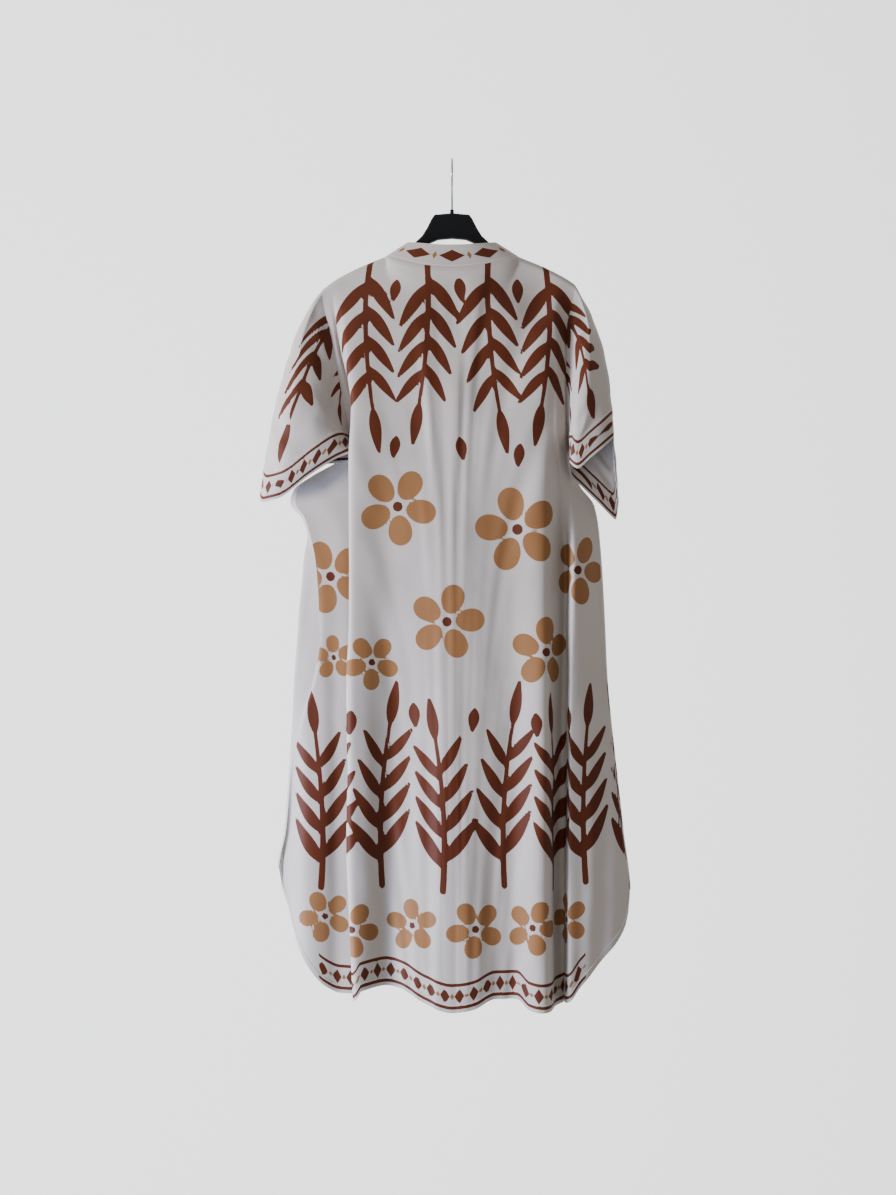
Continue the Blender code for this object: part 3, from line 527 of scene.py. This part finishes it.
def printPanel(canvas, layout, hemDown, borderEnd):
    for u, v, heading, length, curl in layout["sprigs"]:
        sprig(canvas, (u, v), heading, length, curl)
    for u, v, radius, turn in layout["flowers"]:
        flower(canvas, (u, v), radius, turn)
    for u, v, heading, length in layout["seeds"]:
        leaf(canvas, "brown", (u, v), heading, length, length * seedWidth)
    # the border follows the hem and stops where the hem curves up at the sides
    below = np.where(hemDown < borderEnd, 2 * borderLook["clear"], hemDown - canvas["v"])
    for ink in ("brown", "tan"):
        canvas[ink] = np.where(below < borderLook["clear"], inkFree, canvas[ink])
    border(canvas, canvas["u"], below, borderLook["pitch"])


sleeveSprigs = (    # share of half the cuff, height, lean, length, curl, pairs, leaf size
    (0.36, 340, -3, 270, 0.05, 4, 74, 20), (0.86, 280, 4, 210, -0.04, 3, 62, 19))


def printSleeve(canvas, cuffAcross, fromCuff, cuffLength):
    for share, height, lean, length, curl, *leaves in sleeveSprigs:
        for hand in (-1, 1):
            base = (hand * share * cuffLength / 2, height)
            sprig(canvas, base, -90 + hand * lean, length, hand * curl, *leaves)
    canvas["brown"] = np.where(fromCuff < borderLook["clear"] + 2, inkFree, canvas["brown"])
    pitch = cuffLength / round(cuffLength / borderLook["pitch"])
    border(canvas, cuffAcross, fromCuff + 1, pitch)


def addNode(tree, kind, settings=None, links=None):
    node = tree.nodes.new(kind)
    for name, value in (settings or {}).items():
        if isinstance(name, int) or name in node.inputs:
            node.inputs[name].default_value = value
        else:
            setattr(node, name, value)
    for name, source in (links or {}).items():
        tree.links.new(source, node.inputs[name])
    return node


def linear(code):
    parts = [int(code[i:i + 2], 16) / 255 for i in (1, 3, 5)]
    return (*[c / 12.92 if c <= 0.04045 else ((c + 0.055) / 1.055) ** 2.4 for c in parts], 1.0)


def startMaterial(name, settings):
    material = bpy.data.materials.new(name)
    material.use_nodes = True
    shader = material.node_tree.nodes["Principled BSDF"]
    for socket, value in settings.items():
        shader.inputs[socket].default_value = value
    return material, material.node_tree, shader


clothLook = {
    "ground": "#A79D95", "groundShade": "#9B9188",
    "brown": "#3E1604", "brownWorn": "#4D1F07", "tan": "#70492A", "tanWorn": "#7E5733",
    "inkEdge": 0.35,        # mm over which the dye stops
    "thread": 1.1,          # mm; the real threads are 0.2 mm, drawn coarse enough to show
    "slub": (9.0, 1.3),     # mm, length and thickness of uneven threads
    "roughness": 0.60, "gloss": 0.16, "sheen": (0.04, 0.45),
}
inks = ("tan", "brown")     # the darker one is printed last


def viscoseSatin():
    # printed viscose satin: soft broad gloss on the floats of a fine smooth weave
    sheen, sheenRoughness = clothLook["sheen"]
    material, tree, shader = startMaterial("viscoseSatinPrinted", {
        "Roughness": clothLook["roughness"], "IOR": 1.46,
        "Specular IOR Level": clothLook["gloss"], "Sheen Weight": sheen,
        "Sheen Roughness": sheenRoughness})
    place = addNode(tree, "ShaderNodeTexCoord")
    mottle = addNode(tree, "ShaderNodeTexNoise", {"Scale": 9.0, "Detail": 3.0},
                     {"Vector": place.outputs["Object"]})
    colour = {}
    for name, other in (("ground", "groundShade"), ("brown", "brownWorn"), ("tan", "tanWorn")):
        mixed = addNode(tree, "ShaderNodeMix", {
            "data_type": "RGBA", 6: linear(clothLook[name]), 7: linear(clothLook[other])},
            {0: mottle.outputs["Fac"]})
        colour[name] = mixed.outputs[2]
    base = colour["ground"]
    edge = clothLook["inkEdge"]
    for ink in inks:
        reading = addNode(tree, "ShaderNodeAttribute", {"attribute_name": ink})
        mask = addNode(tree, "ShaderNodeMapRange", {
            "From Min": -edge, "From Max": edge, "To Min": 1.0, "To Max": 0.0},
            {"Value": reading.outputs["Fac"]})
        base = addNode(tree, "ShaderNodeMix", {"data_type": "RGBA"}, {
            0: mask.outputs[0], 6: base, 7: colour[ink]}).outputs[2]
    tree.links.new(base, shader.inputs["Base Color"])
    bands = []
    for direction in ("X", "Y"):    # a wave's bands lie 0.314 / scale apart
        bands.append(addNode(tree, "ShaderNodeTexWave", {
            "bands_direction": direction, "Scale": 0.314 / (clothLook["thread"] * mm),
            "Distortion": 0.6}, {"Vector": place.outputs["UV"]}).outputs["Fac"])
    weave = addNode(tree, "ShaderNodeMath", {"operation": "MULTIPLY"}, {0: bands[0], 1: bands[1]})
    long, thick = clothLook["slub"]
    stretch = addNode(tree, "ShaderNodeMapping", {"Scale": (1 / (long * mm), 1 / (thick * mm), 1)},
                      {"Vector": place.outputs["UV"]})
    slub = addNode(tree, "ShaderNodeTexNoise", {"Scale": 1.0, "Detail": 2.0},
                   {"Vector": stretch.outputs[0]})
    fine = addNode(tree, "ShaderNodeBump", {"Strength": 0.16, "Distance": 0.00025},
                   {"Height": weave.outputs[0]})
    coarse = addNode(tree, "ShaderNodeBump", {"Strength": 0.22, "Distance": 0.0004},
                     {"Height": slub.outputs["Fac"], "Normal": fine.outputs[0]})
    tree.links.new(coarse.outputs[0], shader.inputs["Normal"])
    return material


def mouldedPlastic():
    # injection-moulded polystyrene, black and satin, with a fine spark texture
    material, tree, shader = startMaterial("polystyreneMoulded", {
        "Base Color": linear("#030304"), "IOR": 1.5, "Specular IOR Level": 0.2})
    place = addNode(tree, "ShaderNodeTexCoord")
    grain = addNode(tree, "ShaderNodeTexNoise", {"Scale": 1 / (1.2 * mm), "Detail": 2.0},
                    {"Vector": place.outputs["Object"]})
    rubbed = addNode(tree, "ShaderNodeTexNoise", {"Scale": 1 / (30 * mm), "Detail": 3.0},
                     {"Vector": place.outputs["Object"]})
    rough = addNode(tree, "ShaderNodeMapRange", {"To Min": 0.36, "To Max": 0.56},
                    {"Value": rubbed.outputs["Fac"]})
    tree.links.new(rough.outputs[0], shader.inputs["Roughness"])
    bump = addNode(tree, "ShaderNodeBump", {"Strength": 0.25, "Distance": 0.0002},
                   {"Height": grain.outputs["Fac"]})
    tree.links.new(bump.outputs[0], shader.inputs["Normal"])
    return material


def drawnSteel():
    # drawn steel wire, zinc plated: grey and bright with faint lines along the wire
    material, tree, shader = startMaterial("steelWirePlated", {"Metallic": 1.0})
    place = addNode(tree, "ShaderNodeTexCoord")
    stretch = addNode(tree, "ShaderNodeMapping", {"Scale": (1 / (0.5 * mm), 1 / (0.5 * mm), 60)},
                      {"Vector": place.outputs["Object"]})
    lines = addNode(tree, "ShaderNodeTexNoise", {"Scale": 1.0, "Detail": 2.0},
                    {"Vector": stretch.outputs[0]})
    colour = addNode(tree, "ShaderNodeMix", {"data_type": "RGBA", 6: linear("#8E9093"),
                                             7: linear("#B4B6B8")}, {0: lines.outputs["Fac"]})
    rough = addNode(tree, "ShaderNodeMapRange", {"To Min": 0.24, "To Max": 0.4},
                    {"Value": lines.outputs["Fac"]})
    tree.links.new(colour.outputs[2], shader.inputs["Base Color"])
    tree.links.new(rough.outputs[0], shader.inputs["Roughness"])
    return material


def spunThread():
    # spun polyester sewing thread, matt, a little warmer than the cloth
    material, tree, shader = startMaterial("polyesterThread", {"Roughness": 0.7,
                                                               "Sheen Weight": 0.2})
    place = addNode(tree, "ShaderNodeTexCoord")
    fuzz = addNode(tree, "ShaderNodeTexNoise", {"Scale": 1 / (4 * mm)},
                   {"Vector": place.outputs["Object"]})
    colour = addNode(tree, "ShaderNodeMix", {"data_type": "RGBA", 6: linear("#D9D0C6"),
                                             7: linear("#C2B6A8")}, {0: fuzz.outputs["Fac"]})
    tree.links.new(colour.outputs[2], shader.inputs["Base Color"])
    return material


def clothPiece(name, points, normals, canvas, material, closed=False):
    # a closed wall on both sides of the grid, with the print and the flat cloth's UV map
    columns, rows = points.shape[:2]
    half = dress["wall"] / 2
    vertices = np.concatenate([(points + normals * half).reshape(-1, 3),
                               (points - normals * half).reshape(-1, 3)]) * mm
    index = np.arange(columns * rows).reshape(columns, rows)
    nextColumn = np.roll(index, -1, axis=0) if closed else index[1:]
    first = index if closed else index[:-1]
    a, b, c, d = first[:, :-1], first[:, 1:], nextColumn[:, 1:], nextColumn[:, :-1]
    inner = columns * rows
    faces = [np.stack([a, b, c, d], -1).reshape(-1, 4),
             np.stack([a, d, c, b], -1).reshape(-1, 4) + inner]
    for edge, flip in ((0, False), (-1, True)):     # top and bottom rows
        e, f = first[:, edge], nextColumn[:, edge]
        strip = np.stack([e, f, f + inner, e + inner], -1)
        faces.append(strip[:, ::-1] if flip else strip)
    if not closed:
        for edge, flip in ((0, True), (-1, False)):
            e, f = index[edge, :-1], index[edge, 1:]
            strip = np.stack([e, f, f + inner, e + inner], -1)
            faces.append(strip[:, ::-1] if flip else strip)
    faces = np.concatenate(faces)
    corner = vertices[faces[0]]
    facing = np.cross(corner[1] - corner[0], corner[2] - corner[0])
    if facing @ normals.reshape(-1, 3)[faces[0][0]] < 0:
        faces = faces[:, ::-1]
    mesh = bpy.data.meshes.new(name)
    mesh.from_pydata(vertices.tolist(), [], faces.tolist())
    uv = mesh.uv_layers.new(name="flatCloth")
    flat = np.tile(np.stack([canvas["u"].ravel(), canvas["v"].ravel()], -1) * mm, (2, 1))
    corners = np.empty(len(mesh.loops), np.int32)
    mesh.loops.foreach_get("vertex_index", corners)
    uv.data.foreach_set("uv", flat[corners].ravel())
    for ink in ("brown", "tan"):
        layer = mesh.attributes.new(ink, "FLOAT", "POINT")
        layer.data.foreach_set("value", np.tile(canvas[ink].ravel(), 2))
    mesh.shade_smooth()
    mesh.set_sharp_from_angle(angle=math.radians(60))
    mesh.materials.append(material)
    piece = bpy.data.objects.new(name, mesh)
    bpy.context.scene.collection.objects.link(piece)
    return piece


seamReach = 26.0        # mm from a seam, in which the wrinkles grow to their height


def fadeFromSeams(points):
    # 0 on the seams and 1 further in; the hem itself is free
    across = distanceAlong(points, 0)
    down = distanceAlong(points, 1)
    near = np.minimum(across, across[-1:] - across)
    return ease(near / seamReach) * ease(down / seamReach)


panels = {
    "back": {"side": -1, "columns": [18, 18, 3, 8, 3, 14, 24, 24, 14, 8, 3, 5, 3, 24],
             "toMiddle": 7, "rows": (2, 13, 158, 24), "seed": 7, "print": backPrint,
             "borderEnd": 1313.0},
    "front": {"side": 1, "columns": [8, 6, 6, 8, 6, 26, 24, 24, 16, 8, 6, 6, 6, 8],
              "toMiddle": 7, "rows": (2, 9, 140, 20), "seed": 19, "print": frontPrint,
              "borderEnd": 1300.0},
}


panelWrinkles = {   # width and length of the noise's cells and its height, in mm
    "flute": (46, 900, 9.0), "narrowFlute": (21, 420, 2.0), "drag": (34, 210, 2.6),
    "crumple": (15, 19, 0.16), "pucker": (60, 75, 1.5),
    "flutesFrom": (520, 620),   # where they start and the length in which they grow
    "chest": (170, 90, 430, 260),   # where the drags grow, and where they fade
    "slant": (60, 0.45),        # the drags lean outward, from this far off the middle
    "dragsBelow": 0.35,
}


def wrinklePanel(across, down, seed):
    # soft flutes that grow towards the hem, slanting drags at the chest, small crumples
    def noise(kind, offset, turnedAcross, turnedDown, shift=0):
        width, length, height = panelWrinkles[kind]
        return softNoise(turnedAcross / width + shift, turnedDown / length, seed + offset) * height
    start, growth = panelWrinkles["flutesFrom"]
    chestTop, rise, chestEnd, fall = panelWrinkles["chest"]
    lower = ease((down - start) / growth)
    upper = ease((down - chestTop) / rise) * (1 - ease((down - chestEnd) / fall))
    flutes = noise("flute", 0, across, down, 7) + noise("narrowFlute", 1, across, down, 3)
    reach, slant = panelWrinkles["slant"]
    lean = np.tanh(across / reach) * slant
    drags = noise("drag", 2, across + lean * down, down - lean * across)
    crumples = noise("crumple", 3, across, down) + noise("pucker", 4, across, down)
    below = panelWrinkles["dragsBelow"]
    return flutes * lower + drags * (below + (1 - below) * upper) + crumples


turnedHem = {"depth": 14.0, "rise": 0.25, "edge": 1.5}      # the fold of cloth under the hem
cuffHem = {"depth": 50.0, "rise": 0.3, "edge": 1.5}


def raiseHem(hem, toEdge):
    return (hem["rise"] * ease((hem["depth"] - toEdge) / hem["edge"]))[..., None]


def makePanels(material):
    pieces = {}
    for name, settings in panels.items():
        side, columns = settings["side"], settings["columns"]
        points = panelGrid(side, columns, rowPlaces(*settings["rows"]))
        middle = sum(columns[:settings["toMiddle"]])
        across = distanceAlong(points * (1, 1, 0), 0)      # level, whatever the row's slope
        across = across - across[middle:middle + 1]
        down = -points[..., 2]
        outward = np.zeros_like(points)
        outward[..., 1] = side
        normals = surfaceNormals(points, False, outward)
        wrinkles = wrinklePanel(across, down, settings["seed"]) * fadeFromSeams(points)
        points += normals * wrinkles[..., None]
        toHem = distanceAlong(points, 1)
        toHem = toHem[:, -1:] - toHem
        points += normals * raiseHem(turnedHem, toHem)
        normals = surfaceNormals(points, False, outward)
        canvas = newCanvas(across, down)
        printPanel(canvas, settings["print"], down[:, -1:], settings["borderEnd"])
        piece = clothPiece("dress_" + name, points, normals, canvas, material)
        pieces[name] = {"piece": piece, "points": points, "normals": normals, "toHem": toHem}
        print(name, "cloth made, widest row", round(float((across[-1] - across[0]).max())),
              "mm, longest column", round(float(toHem.max())), "mm")
    return pieces


sleeveWrinkles = {  # width and length of the noise's cells and its height, in mm
    "rows": 84, "long": (30, 160, 3.4), "slanting": (22, 90, 1.7), "small": (14, 14, 0.15),
    "seamReach": 30.0, "cuffReach": 60.0, "atCuff": 0.35,
    "backSeamFade": 0.4,        # of a radian, at the seam under the arm
}


def wrinkleSleeve(across, along, fromCuff, half, seed):
    look = sleeveWrinkles
    width, length, height = look["long"]
    folds = softNoise(across / width + 9, fromCuff / length, seed) * height
    width, length, height = look["slanting"]
    folds += softNoise((across + fromCuff) / width, (fromCuff - across) / length,
                       seed + 1) * height
    width, length, height = look["small"]
    folds += softNoise(across / width, fromCuff / length, seed + 2) * height
    folds *= ease(along / look["seamReach"])
    folds *= look["atCuff"] + (1 - look["atCuff"]) * ease(fromCuff / look["cuffReach"])
    return folds * ease((math.pi - np.abs(across / half * math.pi)) / look["backSeamFade"])


def makeSleeves(material):
    pieces = {}
    for name, settings in sleeves.items():
        points, turn = sleeveGrid(settings, rowPlaces(2, 10), sleeveWrinkles["rows"])
        centre = points.mean(axis=0, keepdims=True)
        normals = surfaceNormals(points, True, points - centre)
        wrapped = np.concatenate([points, points[:1]])
        run = distanceAlong(wrapped, 0)
        girth = run[-1:]
        half = girth / 2
        across = np.where(run[:-1] > half, run[:-1] - girth, run[:-1])
        along = distanceAlong(points, 1)
        fromCuff = along[:, -1:] - along
        folds = wrinkleSleeve(across, along, fromCuff, half, settings["seed"])
        points += normals * folds[..., None]
        points += normals * raiseHem(cuffHem, fromCuff)
        normals = surfaceNormals(points, True, points - centre)
        canvas = newCanvas(across, fromCuff)
        cuffAcross = across / half * half[:, -1:]
        printSleeve(canvas, cuffAcross, fromCuff, float(girth[0, -1]))
        piece = clothPiece("dress_" + name, points, normals, canvas, material, closed=True)
        pieces[name] = {"piece": piece, "points": points, "normals": normals, "toHem": fromCuff}
        print(name, "cloth made, girth at armhole", round(float(girth[0, 0])), "at cuff",
              round(float(girth[0, -1])), "mm, length", round(float(along[:, -1].max())),
              "to", round(float(along[:, -1].min())), "mm")
    return pieces


neckband = {
    "topBack": -141.0, "topSide": (72.0, -133.0), "mitre": -272.0, "rows": 14,
    "backColumns": 120, "frontColumns": 70,
    "topDepth": 0.86,           # of the seam's depth
    "mitreCurve": 1.3,
    "ripple": (30, 40, 0.5, 12),    # cell's width and length, height, reach from the seam
    "printWidth": 37.0, "pitch": 66.0, "large": (25.0, 10.0), "small": (4.5, 7.0),
}


def makeNeckband(material):
    half = dress["neckHalf"]
    backX = -half * np.cos(np.linspace(0, math.pi, neckband["backColumns"] + 1))
    frontX = np.linspace(1, 0, neckband["frontColumns"] + 1) * half
    strips = []
    for side, x in ((1, -frontX[:0:-1]), (-1, backX), (1, frontX[1:])):
        depth, height = neckCurve(side, x)
        strips.append(np.stack([x, depth, height], axis=-1))
    seam = np.concatenate(strips)
    share = np.abs(seam[:, 0]) / half
    behind = seam[:, 1] < 0
    sideX, sideHeight = neckband["topSide"]
    bend = np.sqrt(np.clip(1 - share ** 2, 0, 1))
    edge = seam.copy()
    edge[:, 0] *= sideX / half
    edge[:, 1] *= neckband["topDepth"]
    edge[:, 2] = np.where(behind, sideHeight + (neckband["topBack"] - sideHeight) * bend ** 2,
                          sideHeight + (neckband["mitre"] - sideHeight)
                          * (1 - share) ** neckband["mitreCurve"])
    points = np.stack([seam + (edge - seam) * part
                       for part in np.linspace(0, 1, neckband["rows"] + 1)], axis=1)
    outward = np.zeros_like(points)
    outward[..., 1] = np.where(behind, -1, 1)[:, None]
    normals = surfaceNormals(points, False, outward)
    across = distanceAlong(points, 0)
    middle = len(points) // 2
    across = across - across[middle:middle + 1]
    up = distanceAlong(points, 1)
    width, length, height, reach = neckband["ripple"]
    ripple = softNoise(across / width, up / length, 61) * height * ease(up / reach)
    points += normals * ripple[..., None]
    canvas = newCanvas(across, -up)
    seamAcross = np.repeat(across[:, :1], points.shape[1], axis=1)
    wide = neckband["printWidth"]
    place = up / np.maximum(up[:, -1:], 1) * wide
    for ink, size, offset in (("brown", "large", 0.5), ("tan", "small", 0.0)):
        diamonds(canvas, ink, seamAcross, place, wide / 2, neckband["pitch"], *neckband[size],
                 offset)
    piece = clothPiece("dress_neckband", points, normals, canvas, material)
    print("neckband made, seam", round(float(np.ptp(across[:, 0]))), "mm, width",
          round(float(up[:, -1].max())), "mm")
    return {"piece": piece, "points": points, "normals": normals, "toHem": up}


stitch = {"length": 2.6, "pitch": 3.6, "radius": 0.32, "sides": 5,
          "lift": 0.55,     # over the middle of the cloth
          "hem": 12.0, "cuff": 48.0, "band": 2.5}   # distance from the edge


def stitchTree(material):
    tree = bpy.data.node_groups.new("stitchesAlongPath", "GeometryNodeTree")
    sockets = tree.interface
    sockets.new_socket("Path", in_out="INPUT", socket_type="NodeSocketGeometry")
    names = {}
    for name in ("length", "pitch", "radius"):
        socket = sockets.new_socket(name, in_out="INPUT", socket_type="NodeSocketFloat")
        names[name] = socket.identifier
    sockets.new_socket("Stitches", in_out="OUTPUT", socket_type="NodeSocketGeometry")
    given = addNode(tree, "NodeGroupInput")
    curve = addNode(tree, "GeometryNodeMeshToCurve", links={"Mesh": given.outputs["Path"]})
    points = addNode(tree, "GeometryNodeCurveToPoints", {"mode": "LENGTH"}, {
        "Curve": curve.outputs[0], "Length": given.outputs["pitch"]})
    thread = addNode(tree, "GeometryNodeMeshCylinder", {"Vertices": stitch["sides"]}, {
        "Radius": given.outputs["radius"], "Depth": given.outputs["length"]})
    lying = addNode(tree, "FunctionNodeAlignRotationToVector", {"axis": "Z"},
                    {"Vector": points.outputs["Tangent"]})
    laid = addNode(tree, "GeometryNodeInstanceOnPoints", links={
        "Points": points.outputs["Points"], "Instance": thread.outputs["Mesh"],
        "Rotation": lying.outputs[0]})
    real = addNode(tree, "GeometryNodeRealizeInstances", links={"Geometry": laid.outputs[0]})
    dyed = addNode(tree, "GeometryNodeSetMaterial", {"Material": material},
                   {"Geometry": real.outputs[0]})
    result = addNode(tree, "NodeGroupOutput")
    tree.links.new(dyed.outputs[0], result.inputs[0])
    return tree, names


def pathAt(grid, distance, closed):
    # the points of a cloth grid that lie one distance from its free edge, just proud of it
    rows = []
    for column in range(len(grid["points"])):
        far = grid["toHem"][column]
        order = np.argsort(far)
        rows.append([np.interp(distance, far[order], (grid["points"][column, :, axis]
                     + grid["normals"][column, :, axis] * stitch["lift"])[order])
                     for axis in range(3)])
    return np.array(rows + rows[:1] if closed else rows)


def sewAlong(name, path, treeAndNames):
    tree, names = treeAndNames
    mesh = bpy.data.meshes.new(name + "_path")
    mesh.from_pydata((path * mm).tolist(), [(i, i + 1) for i in range(len(path) - 1)], [])
    holder = bpy.data.objects.new(name + "_path", mesh)
    bpy.context.scene.collection.objects.link(holder)
    modifier = holder.modifiers.new("stitches", "NODES")
    modifier.node_group = tree
    for setting, identifier in names.items():
        modifier[identifier] = stitch[setting] * mm
    evaluated = holder.evaluated_get(bpy.context.evaluated_depsgraph_get())
    sewn = bpy.data.meshes.new_from_object(evaluated)
    sewn.name = name
    bpy.data.objects.remove(holder)
    piece = bpy.data.objects.new(name, sewn)
    bpy.context.scene.collection.objects.link(piece)
    print(name, "sewn,", len(sewn.polygons), "faces")
    return piece


hook = {
    "wire": 3.5, "inside": 22.0, "foot": -94.0, "straight": -64.0, "sides": 20,
    "arc": (-48, 196),          # degrees, from the stem's side to the wire's end
    "bendPull": 26.0,           # how far the stem's bend keeps its two headings
    "footGap": 0.3, "cutEnd": 0.86,
}


def makeHook(material):
    # straight stem that bends into a round arc over the rail, all in one upright plane
    radius = hook["inside"] + hook["wire"] / 2
    first, last = (math.radians(angle) for angle in hook["arc"])
    pull = hook["bendPull"]
    joint = np.array([radius * math.cos(first), radius * math.sin(first) - hook["inside"]])
    heading = np.array([-math.sin(first), math.cos(first)])
    bend = hermite(np.array([0.0, hook["straight"]]), joint, np.array([0.0, pull]),
                   heading * pull, np.linspace(0, 1, 17)[:, None])
    angles = np.linspace(first, last, 61)[1:]
    arc = np.stack([radius * np.cos(angles), radius * np.sin(angles) - hook["inside"]], axis=-1)
    heights = np.linspace(hook["foot"] + hook["footGap"], hook["straight"], 7)[:-1]
    stemRun = np.stack([np.zeros_like(heights), heights], -1)
    route = np.concatenate([stemRun, bend, arc])
    run = unit(np.gradient(route, axis=0))
    aside = np.stack([run[:, 1], -run[:, 0]], axis=-1)
    turns = np.linspace(0, 2 * math.pi, hook["sides"], endpoint=False)
    rings, sizes = [], np.full(len(route), hook["wire"] / 2)
    sizes[-1] *= hook["cutEnd"]     # its rim is rounded off
    for point, side, size in zip(route, aside, sizes):
        rings.append([(size * math.cos(t), point[0] + side[0] * size * math.sin(t),
                       point[1] + side[1] * size * math.sin(t)) for t in turns])
    vertices = np.array(rings).reshape(-1, 3) * mm
    count = hook["sides"]
    faces = [(r * count + s, r * count + (s + 1) % count, (r + 1) * count + (s + 1) % count,
              (r + 1) * count + s) for r in range(len(route) - 1) for s in range(count)]
    faces += [tuple(range(count))[::-1], tuple(range(len(vertices) - count, len(vertices)))]
    mesh = bpy.data.meshes.new("hook_wire")
    mesh.from_pydata(vertices.tolist(), [], faces)
    mesh.shade_smooth()
    mesh.set_sharp_from_angle(angle=math.radians(50))
    mesh.materials.append(material)
    piece = bpy.data.objects.new("hook_wire", mesh)
    bpy.context.scene.collection.objects.link(piece)
    return piece


studio = {
    "brightSide": (-0.5, 0.86, -0.1), "dim": 0.36, "bright": 2.5, "air": "#FBFCFF",
    "lights": (     # name, place and target in metres, size, power, colour
        ("window", (-2.6, -1.1, -0.9), (0, 0, -0.9), 0.8, 175, "#FBF9FF"),
        ("lowWindow", (-1.6, -0.9, -1.45), (-0.1, 0, -1.2), 0.7, 66, "#A9C9FF")),
    "lens": 41.4, "cameraPlace": (-0.0064, -2.215, -0.7037),
}


def areaLight(name, place, target, size, power, colour):
    light = bpy.data.lights.new(name, "AREA")
    light.shape = "DISK"
    light.size = size
    light.energy = power
    light.color = linear(colour)[:3]
    lamp = bpy.data.objects.new(name, light)
    lamp.location = place
    toward = np.array(target) - np.array(place)
    flat = math.hypot(toward[0], toward[1])
    lamp.rotation_euler = (math.atan2(flat, -toward[2]), 0, math.atan2(toward[1], toward[0])
                           - math.pi / 2)
    bpy.context.scene.collection.objects.link(lamp)


def makeStudio():
    world = bpy.data.worlds.new("paleRoom")
    bpy.context.scene.world = world
    world.use_nodes = True
    world.node_tree.nodes["Background"].inputs["Color"].default_value = linear(studio["air"])
    # the room is bright behind the dress and to its left, as by a window, and dim elsewhere
    view = addNode(world.node_tree, "ShaderNodeTexCoord")
    toward = addNode(world.node_tree, "ShaderNodeVectorMath", {
        "operation": "DOT_PRODUCT", 1: studio["brightSide"]}, {0: view.outputs["Generated"]})
    level = addNode(world.node_tree, "ShaderNodeMapRange", {
        "From Min": -1.0, "From Max": 1.0, "To Min": studio["dim"], "To Max": studio["bright"]},
        {"Value": toward.outputs["Value"]})
    world.node_tree.links.new(level.outputs[0],
                              world.node_tree.nodes["Background"].inputs["Strength"])
    for light in studio["lights"]:
        areaLight(*light)


def makeCamera():
    camera = bpy.data.cameras.new("photoView")
    camera.lens = studio["lens"]
    camera.sensor_width = 36
    viewer = bpy.data.objects.new("photoView", camera)
    viewer.location = studio["cameraPlace"]
    viewer.rotation_euler = (math.pi / 2, 0, 0)
    bpy.context.scene.collection.objects.link(viewer)
    bpy.context.scene.camera = viewer


makeCamera()
makeStudio()
print("studio ready")

cloth = viscoseSatin()
body = makePanels(cloth)
arms = makeSleeves(cloth)
band = makeNeckband(cloth)
tree = stitchTree(spunThread())
seams = [("back", "stitches_back_hem", body["back"], "hem", False),
         ("front", "stitches_front_hem", body["front"], "hem", False),
         ("sleeve_left", "stitches_sleeve_left", arms["sleeve_left"], "cuff", True),
         ("sleeve_right", "stitches_sleeve_right", arms["sleeve_right"], "cuff", True),
         ("neckband", "stitches_neckband", band, "band", False)]
sewing = {node: sewAlong(name, pathAt(grid, stitch[place], closed), tree)
          for node, name, grid, place, closed in seams}

for node, made in {**body, **arms, "neckband": band}.items():
    piece = made["piece"]
    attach(piece, "root")
    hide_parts(node)
    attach(sewing[node], "root")

wire = makeHook(drawnSteel())
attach(wire, "root")
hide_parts("hanger_hook")
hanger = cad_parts["hanger_body"]
plastic = mouldedPlastic()
for slot in hanger.material_slots:
    slot.material = plastic
print("pieces placed")
